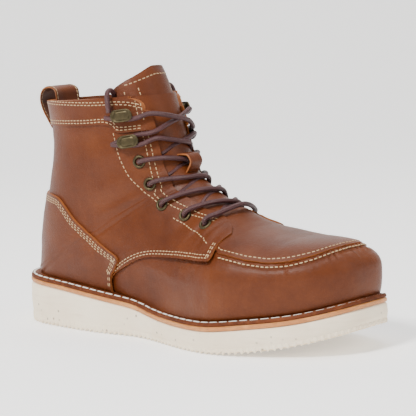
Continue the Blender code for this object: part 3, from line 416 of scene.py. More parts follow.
class Upper:
    """The last-shaped surface: a family of half sections, then turns round the toe."""

    def __init__(self):
        self.table = np.array(SECTIONS)
        self.feather = split_outline(ledge)
        self.heel_end, heel_y = self.feather[LATERAL][0]
        for edge in self.feather.values():
            fade = np.clip(1 - (edge[:, 0] - self.heel_end) / HEEL_CENTRING, 0, 1)
            edge[:, 1] -= heel_y * fade
        self.toe_end = self.feather[LATERAL][-1, 0]
        self.rows = [self.section(s) for s in range(LAST_ROW + 1)]
        top = self.rows[LAST_ROW]
        self.pole = np.array([top["front"][0], top["shift"], top["front"][1]])

    def section(self, s):
        """One row of the table in metres. Rows between two others are straight mixes."""
        first = min(int(s), LAST_ROW - 1)
        row = self.table[first] + (self.table[first + 1] - self.table[first]) * (s - first)
        if s < FEATHER_ROW:
            back_x = along(row[0])
            if s > FEATHER_ROW - 1:
                before = along(self.table[FEATHER_ROW - 1][0])
                back_x = before + (self.heel_end - before) * (s - FEATHER_ROW + 1)
        else:
            back_x = self.heel_end + row[0] * (self.toe_end - self.heel_end)
        front_x = along(row[2])
        found = {
            "back": np.array([back_x, seat(back_x) + row[1] * SHAFT]),
            "front": np.array([front_x, seat(front_x) + row[3] * SHAFT]),
            "wide": {LATERAL: row[4] * BALL_WIDTH, MEDIAL: row[5] * BALL_WIDTH},
            "widest": row[6],
            "powers": (row[7], row[8]),
            "shift": row[9] * BALL_WIDTH,
        }
        found["foot"] = {side: 0.0 for side in (LATERAL, MEDIAL)}
        if s >= FEATHER_ROW:
            for side in (LATERAL, MEDIAL):
                reach = side * (edge_at(self.feather, side, back_x) - found["shift"])
                found["foot"][side] = max(0.0, float(reach))
        return found

    def toe_reach(self, direction):
        """How far the feather lies from the toe's axis in this direction."""
        loop = np.vstack([self.feather[LATERAL], self.feather[MEDIAL][::-1]])
        away = loop - self.pole[:2]
        away = away[away[:, 0] > -0.02]
        turned = np.arctan2(away[:, 1], away[:, 0])
        order = np.argsort(turned)
        angle = math.atan2(direction[1], direction[0])
        return float(np.interp(angle, turned[order], np.linalg.norm(away, axis=1)[order]))

    def half_curve(self, side, s, count=61):
        """Points from the back or feather to the front or ridge on one side."""
        if s <= LAST_ROW:
            row = self.section(s)
            base = np.array([row["back"][0], row["shift"], row["back"][1]])
            top = np.array([row["front"][0], row["shift"], row["front"][1]])
            out = np.array([0.0, side, 0.0])
            foot, wide = row["foot"][side], row["wide"][side]
            widest, (power_back, power_front) = row["widest"], row["powers"]
        else:
            row = self.rows[LAST_ROW]
            turn = min(s - LAST_ROW, 1.0)
            angle = side * (1 - turn) * math.pi / 2
            out = np.array([math.cos(angle), math.sin(angle), 0.0])
            foot = self.toe_reach(out)
            side_hang = row["wide"][side] - row["foot"][side]
            wide = foot + side_hang + (TOE_OVERHANG - side_hang) * turn
            top = self.pole
            edge = self.pole + out * foot
            base = np.array([top[0], top[1], seat(edge[0])])
            widest = row["widest"] + (TOE_WIDEST - row["widest"]) * turn
            power_back = row["powers"][0]
            power_front = row["powers"][1] + (TOE_POWER - row["powers"][1]) * turn
        turns = np.linspace(0, math.pi / 2, count)
        sine, cosine = np.sin(turns), np.cos(turns)
        back_run = widest * (1 - cosine ** (2 / power_back))
        back_out = foot + (wide - foot) * sine ** (2 / power_back)
        if FEATHER_ROW <= s <= LAST_ROW:
            place = base[0] + back_run * (top[0] - base[0])
            wall = side * (edge_at(self.feather, side, place) - row["shift"])
            back_out = wall * (1 + (wide / wall[-1] - 1) * sine ** (2 / power_back))
        front_run = widest + (1 - widest) * sine ** (2 / power_front)
        front_out = wide * cosine ** (2 / power_front)
        run = np.concatenate([back_run, front_run[1:]])
        reach = np.concatenate([back_out, front_out[1:]])
        return base + run[:, None] * (top - base) + reach[:, None] * out

    def spaced(self, side, s, shares):
        """Points at these shares of the half curve's own length."""
        curve = self.half_curve(side, s)
        steps = np.linalg.norm(np.diff(curve, axis=0), axis=1)
        run = np.concatenate([[0.0], np.cumsum(steps)]) / steps.sum()
        return np.stack([np.interp(shares, run, curve[:, k]) for k in range(3)], 1)

    def raw_skin(self, side, s, shares):
        nudge, turn = 0.01, 0.04
        here = self.spaced(side, s, shares)
        ahead = self.spaced(side, s, np.clip(shares + nudge, 0, 1))
        behind = self.spaced(side, s, np.clip(shares - nudge, 0, 1))
        after = self.spaced(side, min(s + turn, LAST_ROW + 1), shares)
        first = FEATHER_ROW if s >= FEATHER_ROW else 0
        before = self.spaced(side, max(s - turn, first), shares)
        across = after - before
        across /= np.maximum(np.linalg.norm(across, axis=1), 1e-12)[:, None]
        if FEATHER_ROW - 1 <= s <= UPRIGHT_TO:
            upright = np.clip(1 - shares / UPRIGHT_SHARE, 0, 1)[:, None]
            across = across * (1 - upright) + np.array([0.0, 0.0, -1.0]) * upright
        normal = np.cross(ahead - behind, across) * side
        if s >= FEATHER_ROW:
            run = (after - before)[shares < 0.001]
            normal[shares < 0.001] = np.stack([-run[:, 1], run[:, 0], 0 * run[:, 0]], 1) * side
        size = np.linalg.norm(normal, axis=1)
        return here, normal / np.maximum(size, 1e-12)[:, None]

    def skin(self, side, s, shares):
        """Points and outward normals at these shares of a half curve."""
        shares = np.asarray(shares, float)
        here, normal = self.raw_skin(side, s, shares)
        other = self.raw_skin(-side, s, shares)[1]
        for i, share in enumerate(shares):
            at_back = share < 0.001 and s <= FEATHER_ROW
            if at_back or share > 0.999 or s >= LAST_ROW + 1:
                both = normal[i] + other[i]
                normal[i] = (both[0], 0.0, both[2])
            if share > 0.999 and s >= LAST_ROW:
                normal[i] = (0.0, 0.0, 1.0)
        return here, normal / np.linalg.norm(normal, axis=1)[:, None]

    def crown(self, s, y, lift):
        """The place at this half width on the front of a row, raised by lift."""
        point, normal = self.crown_frame(s, y)
        return point + normal * lift

    def crown_point(self, s, y):
        row = self.section(s)
        side = LATERAL if y < 0 else MEDIAL
        power = row["powers"][1]
        reach = min(abs(y - row["shift"]) / row["wide"][side], 1.0)
        run = row["widest"] + (1 - row["widest"]) * (1 - reach**power) ** (1 / power)
        (back_x, back_z), (front_x, front_z) = row["back"], row["front"]
        return np.array([back_x + run * (front_x - back_x), y, back_z + run * (front_z - back_z)])

    def slid(self, s, distance):
        """The row that lies this far down the instep from row s."""
        rows = np.linspace(0, LAST_ROW, 10 * LAST_ROW + 1)
        line = np.array([self.crown_point(row, 0.0) for row in rows])
        run = np.concatenate([[0.0], np.cumsum(np.linalg.norm(np.diff(line, axis=0), axis=1))])
        return float(np.interp(np.interp(s, rows, run) + distance, run, rows))

    def crown_frame(self, s, y):
        turn, nudge = 0.3, 0.0015
        after, before = self.crown_point(s + turn, y), self.crown_point(max(s - turn, 0), y)
        left, right = self.crown_point(s, y - nudge), self.crown_point(s, y + nudge)
        normal = np.cross(after - before, right - left)
        return self.crown_point(s, y), normal / np.linalg.norm(normal)

    def hole(self, side, place):
        """The row and half width of a lace hole."""
        return place[0], side * place[1] * BALL_WIDTH


def side_place(entry):
    """A panel edge's point in metres, as seen from the side."""
    return along(entry[0]), seat(along(0.0)) + entry[1] * SHAFT


def lapped(s):
    """How far a panel is raised where it laps over the plug's rear end."""
    step = min(max((s - LAP_FROM) / LAP_OVER, 0.0), 1.0)
    return (PANEL + CLEAR) * step * step * (3 - 2 * step)


def throat_outline(extra):
    """The throat seen from above. Its front end goes straight across."""
    half, end = THROAT / 2 + extra, along(0.655) - extra
    start = along(0.34)
    return [(start, -half), (end, -half), (end, half), (start, half)]


def flap_outline():
    """The throat as the flaps leave it, which opens round their lower tips."""
    half, start, far = THROAT / 2, along(0.34), along(0.80)
    edge = [(along(x), y * half * 2) for x, y in FLAP_EDGE]
    wing = 1.2 * BALL_WIDTH
    ring = [(start, half)] + edge + [(far, wing)]
    return ring + [(x, -y) for x, y in reversed(ring)]


def corner_outline():
    """What the round top corner of each flap leaves out, seen from the side."""
    x, z = along(SECTIONS[COLLAR_ROW][2]), seat(along(0.0)) + 0.985 * SHAFT
    middle = (x - 0.0125, z - COLLAR_CORNER)
    arc = [
        (middle[0] + COLLAR_CORNER * math.sin(t), middle[1] + COLLAR_CORNER * math.cos(t))
        for t in np.linspace(0.0, math.pi / 2, 6)
    ]
    over = SHAFT
    right, top = arc[-1][0] + over, arc[0][1] + over
    return arc + [(right, arc[-1][1]), (right, top), (arc[0][0], top)]


def around():
    """Far corners outside the boot: low behind, high behind, high in front."""
    back, front = along(-0.2), along(0.72)
    low, high = -0.02, seat(0.0) + 1.4 * SHAFT
    return back, front, low, high


def placed(point, normal, forward):
    """A matrix whose Z is this normal and whose X points forward along the surface."""
    z = Vector(normal).normalized()
    x = Vector(forward)
    x = (x - z * x.dot(z)).normalized()
    y = z.cross(x)
    turn = Matrix((x, y, z)).transposed().to_4x4()
    return Matrix.Translation(Vector(point)) @ turn


def panel_top(s, on_band=False):
    """Height of the outermost panel at this row, and a little clearance."""
    if on_band:
        return CLEAR + OVERLAY + CLEAR
    return CLEAR + PANEL + lapped(s) + CLEAR




# Finishing sizes of the visible skins, in metres.
ROW_STEPS, TOE_STEPS, SKIN_COLUMNS = 4, 26, 64
PANEL_FINISHES = ["boot_leather", "raw_edge"]

# Rows of thread, as distances from the edge that they follow.
COUNTER_ROWS = (0.0022, 0.0038, 0.0054)
QUARTER_ROWS = (0.0022, 0.0042)
BAND_ROWS = (0.0020, 0.0040)
BAND_TOP_ROWS = (-0.0006, -0.0026)
FALL_ROWS = (-0.0022, -0.0040)
FLAP_ROWS = (0.0024, 0.0044)
SEAM_ROWS = (0.0026, -0.0032)
BAND_TOP = (
    # share of the length, share of the shaft's height
    (0.074, 0.970),
    (0.20, 0.968),
    (0.30, 0.968),
    (0.37, 0.973),
    (0.40, 0.968),
    (0.43, 0.950),
)
STAY_LINE = (
    # share of the length, height of the single stitch row beside the eyelets
    (0.358, 0.1495),
    (0.369, 0.1389),
    (0.380, 0.1281),
    (0.401, 0.1166),
    (0.435, 0.1065),
    (0.473, 0.0983),
    (0.515, 0.0903),
    (0.570, 0.0843),
    (0.629, 0.0791),
    (0.664, 0.0750),
)
COUNTER_FALL = 0.338
SEAM_EDGE = (
    # row, share of the half section where the plug ends
    (19.2, 0.80),
    (20.5, 0.70),
    (21.6, 0.60),
    (22.75, 0.525),
    (24.75, 0.472),
    (26.0, 0.458),
    (26.25, 0.470),
    (26.5, 0.500),
    (26.75, 0.545),
    (27.0, 0.565),
)


def seam_share(s):
    table = np.array(SEAM_EDGE)
    return float(np.interp(s, table[:, 0], table[:, 1]))


def smooth_step(value, low, high):
    t = np.clip((np.asarray(value, float) - low) / (high - low), 0, 1)
    return t * t * (3 - 2 * t)


def fine_rows():
    """Rows of the visible skins: steps between the table's rows, then turns of the toe."""
    body = np.arange(COLLAR_ROW * ROW_STEPS, LAST_ROW * ROW_STEPS + 1) / ROW_STEPS
    return list(body) + [LAST_ROW + (i + 1) / TOE_STEPS for i in range(TOE_STEPS)]


def half_length(upper, side, s):
    curve = upper.half_curve(side, s)
    return float(np.linalg.norm(np.diff(curve, axis=0), axis=1).sum())


def seam_relief(upper, side, s, shares):
    """The vamp's gathered lip under the plug's edge, and its puckers round the toe."""
    away = (shares - seam_share(s)) * half_length(upper, side, s)
    run = (s - LAST_ROW) * 0.095 if s > LAST_ROW else 0.0
    toe = float(smooth_step(s, LAST_ROW - 0.4, LAST_ROW + 0.35))
    near = smooth_step(s, 22.0, 23.0)
    wave = math.cos(2 * math.pi * run / 0.0068 + side * 1.3)
    lip = 0.0013 * np.exp(-(((away + 0.0020) / 0.0016) ** 2)) * (1 + 0.45 * toe * wave)
    pleat = 0.00055 * toe * wave * np.exp(-(((away + 0.0075) / 0.0055) ** 2))
    groove = -0.0006 * np.exp(-(((away + 0.0052) / 0.0012) ** 2))
    return (lip + pleat + groove) * near


def flex_creases(s, shares):
    """Soft wrinkles over the ball, where a worn boot bends."""
    reach = math.exp(-(((s - 20.6) / 1.5) ** 2))
    fan = np.exp(-(((shares - 0.55) / 0.26) ** 2))
    return -0.00045 * reach * fan * (np.sin(5.2 * s + 3.0 * shares) + 0.5 * np.sin(9.1 * s - 4.0 * shares))


def quarter_relief(s, shares):
    """Slow waves of the side leather, and the soft folds at the ankle."""
    ankle = np.exp(-(((s - 6.5) / 2.6) ** 2)) * np.exp(-(((shares - 0.62) / 0.22) ** 2))
    slow = 0.00035 * np.sin(2.1 * s + 9.0 * shares) * np.sin(7.0 * shares + 0.9 * s)
    return slow - 0.00030 * ankle * np.sin(3.4 * s - 5.0 * shares)


def deselect_all():
    bpy.ops.object.select_all(action="DESELECT")


def make_active(piece):
    deselect_all()
    piece.select_set(True)
    bpy.context.view_layer.objects.active = piece


def add_mesh(name, points, faces, finishes, smooth=35.0, welded=2e-5, uvs=None):
    """A mesh object with outward normals, shaded smooth up to this angle."""
    mesh = bpy.data.meshes.new(name)
    work = bmesh.new()
    verts = [work.verts.new(Vector(map(float, p))) for p in points]
    layer = work.loops.layers.uv.new("UVMap") if uvs is not None else None
    for face in faces:
        if len(set(face)) < 3:
            continue
        made = work.faces.new([verts[i] for i in face])
        if layer:
            for loop, i in zip(made.loops, face):
                loop[layer].uv = uvs[i]
    if welded:
        bmesh.ops.remove_doubles(work, verts=work.verts, dist=welded)
        bmesh.ops.dissolve_degenerate(work, edges=work.edges, dist=1e-7)
        bmesh.ops.recalc_face_normals(work, faces=work.faces)
    work.to_mesh(mesh)
    work.free()
    for finish in finishes:
        mesh.materials.append(bpy.data.materials[finish])
    piece = bpy.data.objects.new(name, mesh)
    bpy.context.scene.collection.objects.link(piece)
    make_active(piece)
    if smooth:
        bpy.ops.object.shade_smooth_by_angle(angle=math.radians(smooth))
    return piece


def apply_boolean(piece, cutter, operation):
    make_active(piece)
    step = piece.modifiers.new("cut", "BOOLEAN")
    step.operation = operation
    step.object = cutter
    step.solver = "MANIFOLD"
    bpy.ops.object.modifier_apply(modifier=step.name)
    if not piece.data.polygons:
        raise RuntimeError(f"{piece.name}: the cut left nothing")


def skin_layer(name, upper, low, high, lift, finishes):
    """A closed skin between two distances from the last-shaped surface."""
    rows = fine_rows()
    shares = np.linspace(0, 1, SKIN_COLUMNS)
    points = []
    for side in (LATERAL, MEDIAL):
        skins = [upper.skin(side, s, shares) for s in rows]
        for distance in (low, high):
            for s, (here, normal) in zip(rows, skins):
                points += list(here + normal * (distance + lift(side, s, shares))[:, None])
    block = len(rows) * SKIN_COLUMNS
    faces = []
    for half in range(2):
        inner, outer = 2 * half * block, (2 * half + 1) * block
        for i in range(len(rows) - 1):
            for j in range(SKIN_COLUMNS - 1):
                a = i * SKIN_COLUMNS + j
                b = a + SKIN_COLUMNS
                faces.append((inner + a, inner + a + 1, inner + b + 1, inner + b))
                faces.append((outer + b, outer + b + 1, outer + a + 1, outer + a))
        for j in range(SKIN_COLUMNS - 1):
            faces.append((inner + j, outer + j, outer + j + 1, inner + j + 1))
        for i in range(len(rows) - 1):
            if rows[i] >= FEATHER_ROW:
                a, b = i * SKIN_COLUMNS, (i + 1) * SKIN_COLUMNS
                faces.append((inner + a, inner + b, outer + b, outer + a))
    return add_mesh(name, points, faces, finishes, smooth=None)


def knife(name, outline, axis, low, high):
    """A helper solid: this outline pushed from low to high along Y (1) or Z (2)."""
    size = len(outline)
    points = []
    for place in (low, high):
        for a, b in outline:
            points.append((a, place, b) if axis == 1 else (a, b, place))
    faces = [tuple(range(size)), tuple(range(2 * size - 1, size - 1, -1))]
    faces += [(i, (i + 1) % size, size + (i + 1) % size, size + i) for i in range(size)]
    helper = add_mesh(name, points, faces, ["raw_edge"], smooth=None, welded=1e-6)
    helper.hide_render = True
    return helper


def mark_raw_edges(piece, upper_tree, outer):
    """Gives the cut edges their own finish: the faces that stand across the skin."""
    for face in piece.data.polygons:
        place, normal, _, away = upper_tree.find_nearest(face.center)
        if place is not None and away < outer and abs(normal.dot(face.normal)) < 0.45:
            face.material_index = 1


def finish_panel(piece, upper_tree, outer=1.0):
    mark_raw_edges(piece, upper_tree, outer)
    make_active(piece)
    bpy.ops.object.shade_smooth_by_angle(angle=math.radians(38))
    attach(piece, "root")


def smooth_outline(edge, closing, count=90):
    places = [side_place(entry) for entry in edge]
    return [tuple(p) for p in curve_through(places, count)] + closing


class Boot:
    """What the operators share: the last's surface, and the trees that stitches are laid on."""

    upper = None
    trees = {}


def boot():
    if Boot.upper is None:
        Boot.upper = Upper()
    return Boot


def tree_of(piece):
    graph = bpy.context.evaluated_depsgraph_get()
    return BVHTree.FromObject(piece, graph)


def skin_tree(upper):
    """A tree of the last's own surface, to tell a skin's face from its cut edge."""
    rows = fine_rows()
    shares = np.linspace(0, 1, 40)
    points, faces = [], []
    for side in (LATERAL, MEDIAL):
        start = len(points)
        for s in rows:
            points += [Vector(p) for p in upper.spaced(side, s, shares)]
        for i in range(len(rows) - 1):
            for j in range(39):
                a = start + i * 40 + j
                faces.append((a, a + 1, a + 41, a + 40))
    return BVHTree.FromPolygons(points, faces)


def build_upper():
    """The vamp and its panels, each a thick skin with raw cut edges."""
    upper = boot().upper
    back, front, low, high = around()
    wing = 1.3 * BALL_WIDTH
    tree = skin_tree(upper)
    throat = knife("cut_throat", throat_outline(0.0), 2, 0.0, high)
    flaps = knife("cut_flaps", flap_outline(), 2, 0.0, high)
    corner = knife("cut_corner", corner_outline(), 1, -wing, wing)
    helpers = [throat, flaps, corner]

    def vamp_lift(side, s, shares):
        return seam_relief(upper, side, s, shares) + flex_creases(s, shares)

    vamp = skin_layer("vamp", upper, -WALL, 0.0, vamp_lift, ["vamp_leather", "raw_edge"])
    apply_boolean(vamp, throat, "DIFFERENCE")
    apply_boolean(vamp, corner, "DIFFERENCE")
    finish_panel(vamp, tree)
    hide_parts("upper")
    counter_edge = smooth_outline(COUNTER_EDGE, [(back, side_place(COUNTER_EDGE[-1])[1]), (back, low)])
    band_edge = smooth_outline(BAND_EDGE, [(front, high), (back, high)])
    quarter_edge = smooth_outline(QUARTER_EDGE, [(along(0.703), high), (back, high), (back, low)])

    def quarter_lift(side, s, shares):
        return lapped(s) + quarter_relief(s, shares) + flex_creases(s, shares)

    def over_lift(side, s, shares):
        return quarter_relief(s, shares)

    for side, label in ((LATERAL, "lateral"), (MEDIAL, "medial")):
        reach = sorted((side * CLEAR / 2, side * wing))
        name = f"quarter_{label}_leather"
        piece = skin_layer(name, upper, CLEAR, CLEAR + PANEL, quarter_lift, PANEL_FINISHES)
        mask = knife(f"cut_quarter_{label}", quarter_edge, 1, *reach)
        apply_boolean(piece, mask, "INTERSECT")
        apply_boolean(piece, flaps, "DIFFERENCE")
        apply_boolean(piece, corner, "DIFFERENCE")
        finish_panel(piece, tree)
        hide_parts(f"quarter_{label}")
        helpers.append(mask)
        boot().trees[label] = tree_of(piece)
    low_side = CLEAR + PANEL * 0.8
    high_side = 2 * CLEAR + 2 * PANEL
    counter = skin_layer("heel_counter_leather", upper, low_side, high_side, over_lift, PANEL_FINISHES)
    mask = knife("cut_counter", counter_edge, 1, -wing, wing)
    apply_boolean(counter, mask, "INTERSECT")
    finish_panel(counter, tree, 2 * PANEL + CLEAR)
    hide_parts("heel_counter")
    helpers.append(mask)
    high_side = CLEAR + OVERLAY
    band = skin_layer("collar_band_leather", upper, low_side, high_side, over_lift, PANEL_FINISHES)
    mask = knife("cut_band", band_edge, 1, -wing, wing)
    apply_boolean(band, mask, "INTERSECT")
    apply_boolean(band, flaps, "DIFFERENCE")
    apply_boolean(band, corner, "DIFFERENCE")
    finish_panel(band, tree)
    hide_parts("collar_band")
    helpers.append(mask)
    boot().trees["counter"] = tree_of(counter)
    boot().trees["band"] = tree_of(band)
    boot().trees["vamp"] = tree_of(vamp)
    for helper in helpers:
        bpy.data.objects.remove(helper, do_unlink=True)


def build_plug():
    """The panel on the toe: its own grid ends on the seam, so its edge is clean."""
    upper = boot().upper
    rows = [s for s in fine_rows() if s >= SEAM_EDGE[0][0]]
    columns = 40
    points = []
    for side in (LATERAL, MEDIAL):
        grids = []
        for s in rows:
            edge = seam_share(s)
            shares = edge + (1 - edge) * np.linspace(0, 1, columns) ** 1.15
            here, normal = upper.skin(side, s, shares)
            grids.append((s, shares, here, normal))
        for low in (True, False):
            for s, shares, here, normal in grids:
                away = (shares - shares[0]) * half_length(upper, side, s)
                puff = 0.0006 * smooth_step(away, 0.0, 0.004)
                height = (CLEAR if low else CLEAR + PANEL + puff) + flex_creases(s, shares) * 0.8
                points += list(here + normal * height[:, None])
    block = len(rows) * columns
    faces = []
    for half in range(2):
        inner, outer = 2 * half * block, (2 * half + 1) * block
        for i in range(len(rows) - 1):
            for j in range(columns - 1):
                a = i * columns + j
                b = a + columns
                faces.append((inner + a, inner + a + 1, inner + b + 1, inner + b))
                faces.append((outer + b, outer + b + 1, outer + a + 1, outer + a))
            a, b = i * columns, (i + 1) * columns
            faces.append((inner + a, inner + b, outer + b, outer + a))
        for j in range(columns - 1):
            faces.append((inner + j, outer + j, outer + j + 1, inner + j + 1))
    plug = add_mesh("moc_plug_leather", points, faces, ["boot_leather", "raw_edge"], smooth=None)
    finish_panel(plug, skin_tree(upper))
    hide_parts("moc_plug")
    boot().trees["plug"] = tree_of(plug)


# Stitches


def capsule(sides=6, rings=4):
    """Points and faces of a stitch of unit length along X and unit thickness."""
    points, faces = [], []
    for end, sign in ((-0.5, -1), (0.5, 1)):
        for i in range(rings):
            turn = math.pi / 2 * i / rings
            spot = end + sign * 0.5 * math.sin(turn) * 0.12
            for k in range(sides):
                angle = 2 * math.pi * k / sides
                points.append((spot, math.cos(turn) * math.cos(angle), math.cos(turn) * math.sin(angle)))
    block = rings * sides
    order = [range(i * sides, i * sides + sides) for i in reversed(range(rings))]
    order += [range(block + i * sides, block + i * sides + sides) for i in range(rings)]
    for a, b in zip(order, order[1:]):
        for k in range(sides):
            faces.append((a[k], a[(k + 1) % sides], b[(k + 1) % sides], b[k]))
    faces.append(tuple(reversed(order[0])))
    faces.append(tuple(order[-1]))
    return np.array(points), faces


def resample(points, normals, pitch):
    points, normals = np.asarray(points, float), np.asarray(normals, float)
    steps = np.linalg.norm(np.diff(points, axis=0), axis=1)
    run = np.concatenate([[0.0], np.cumsum(steps)])
    count = max(int(run[-1] / pitch), 2)
    at = (np.arange(count) + 0.5) * run[-1] / count
    spots = np.stack([np.interp(at, run, points[:, k]) for k in range(3)], 1)
    turns = np.stack([np.interp(at, run, normals[:, k]) for k in range(3)], 1)
    ahead = np.stack([np.interp(at + pitch * 0.3, run, points[:, k]) for k in range(3)], 1)
    behind = np.stack([np.interp(at - pitch * 0.3, run, points[:, k]) for k in range(3)], 1)
    return spots, turns, ahead - behind


def sew(name, paths, finish, pitch=None, length=None, thick=None, sunk=0.25):
    """One mesh with a stitch at every pitch along each path of points and normals."""
    look = bpy.context.scene.boot_look
    pitch = pitch or round(look.stitch_pitch, 6)
    length = length or round(look.stitch_length, 6)
    thick = thick or round(look.stitch_thick, 6)
    base, base_faces = capsule()
    points, faces = [], []
    random = np.random.default_rng(len(name) * 7 + len(paths))
    for places, normals in paths:
        if len(places) < 2:
            continue
        spots, turns, runs = resample(places, normals, pitch)
        for spot, normal, run in zip(spots, turns, runs):
            size = np.linalg.norm(run)
            if size < 1e-7:
                continue
            x = run / size
            z = normal - x * (normal @ x)
            z /= max(np.linalg.norm(z), 1e-9)
            y = np.cross(z, x)
            lean = random.normal(0, 0.04)
            x = x * math.cos(lean) + y * math.sin(lean)
            y = np.cross(z, x)
            scale = np.array([length * random.uniform(0.94, 1.04), thick, thick * 0.8])
            spot = spot + z * thick * (0.8 - sunk)
            start = len(points)
            local = base * scale
            bow = -(np.abs(base[:, 0]) * 2) ** 3 * thick * 0.9
            points += list(spot + local[:, :1] * x + local[:, 1:2] * y + (local[:, 2:] + bow[:, None]) * z)
            faces += [tuple(start + i for i in face) for face in base_faces]
    piece = add_mesh(name, points, faces, [finish], smooth=60, welded=0)
    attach(piece, "root")
    return piece


def laid_from_side(tree, side, line):
    """The line of side-view places laid on a piece: points and normals."""
    points, normals = [], []
    for x, z in line:
        start = Vector((x, side * 0.12, z))
        place, normal = tree.ray_cast(start, Vector((0, -side, 0)))[:2]
        if place is not None:
            points.append(tuple(place))
            normals.append(tuple(normal))
    return points, normals


def shifted(line, distance):
    """The line moved sideways: a positive distance is to its left."""
    line = np.asarray(line, float)
    run = np.gradient(line, axis=0)
    run /= np.maximum(np.linalg.norm(run, axis=1), 1e-9)[:, None]
    return line + np.stack([-run[:, 1], run[:, 0]], 1) * distance


def clipped(line, low=(-9, -9), high=(9, 9)):
    line = np.asarray(line, float)
    keep = np.all((line > np.array(low)) & (line < np.array(high)), axis=1)
    return line[keep]


def seam_line(upper, side, offset, lift, first=22.4):
    """Points and normals along the plug's seam, offset across it."""
    points, normals = [], []
    for s in fine_rows():
        if s < first:
            continue
        share = seam_share(s) + offset / half_length(upper, side, s)
        here, normal = upper.skin(side, s, np.array([share]))
        points.append(here[0] + normal[0] * lift)
        normals.append(normal[0])
    return points, normals


def build_stitches():
    """Every row of thread on the upper."""
    upper, trees = boot().upper, boot().trees

    def edge(table):
        return curve_through([side_place(entry) for entry in table], 140)

    paths = []
    for side, label in ((LATERAL, "lateral"), (MEDIAL, "medial")):
        counter = edge(COUNTER_EDGE[1:11])
        for distance in COUNTER_ROWS:
            line = clipped(shifted(counter, distance), low=(-9, 0.036))
            paths.append(laid_from_side(trees["counter"], side, line))
        lower = edge(QUARTER_EDGE[1:9])
        for distance in QUARTER_ROWS:
            line = clipped(shifted(lower, distance), low=(along(0.345), 0.0))
            paths.append(laid_from_side(trees[label], side, line))
        band = edge(BAND_EDGE[:7])
        for distance in BAND_ROWS:
            line = clipped(shifted(band, distance), low=(along(0.074), 0))
            paths.append(laid_from_side(trees["band"], side, line))
        stay = curve_through([(along(x), z) for x, z in STAY_LINE], 160)
        for first, last in ((0, 84), (106, 160)):
            paths.append(laid_from_side(trees[label], side, stay[first:last]))
        fall = np.array([(along(COUNTER_FALL), z) for z in np.linspace(0.047, 0.034, 24)])
        for distance in FALL_ROWS:
            paths.append(laid_from_side(trees["counter"], side, fall + (distance, 0.0)))
        top = curve_through([side_place(entry) for entry in BAND_TOP], 80)
        for distance in BAND_TOP_ROWS:
            paths.append(laid_from_side(trees["band"], side, shifted(top, distance)))
        paths.append(seam_line(upper, side, SEAM_ROWS[0], CLEAR + PANEL + 0.0004))
        paths.append(seam_line(upper, side, SEAM_ROWS[1], 0.0012, first=22.9))
    sew("leather_stitches", paths, "cream_thread")
    flaps = []
    for side, label in ((LATERAL, "lateral"), (MEDIAL, "medial")):
        for inset in FLAP_ROWS:
            places, normals = [], []
            for s in np.arange(0.9, 19.9, 0.15):
                y = side * (THROAT / 2 + inset)
                point, normal = upper.crown_frame(s, y)
                start = Vector(point + normal * 0.012)
                place, _, _, away = trees[label].ray_cast(start, Vector(-normal))
                if s < 2.6:
                    other = trees["band"].ray_cast(start, Vector(-normal))
                    place = other[0] if other[0] is not None else place
                if place is not None and away is not None and away < 0.02:
                    places.append(tuple(place))
                    normals.append(tuple(normal))
            flaps.append((places, normals))
    sew("flap_stitches", flaps, "cream_thread")


# Sole


def sole_levels():
    """The side of the wedge: share of its height, and how far it stands in."""
    return (
        (0.0, 0.0010),
        (0.03, 0.0003),
        (0.10, 0.0),
        (0.22, 0.0001),
        (0.26, 0.0006),
        (0.30, 0.0002),
        (0.55, -0.0003),
        (0.80, 0.0),
        (0.90, 0.0001),
        (0.96, 0.0006),
        (1.0, 0.0016),
    )


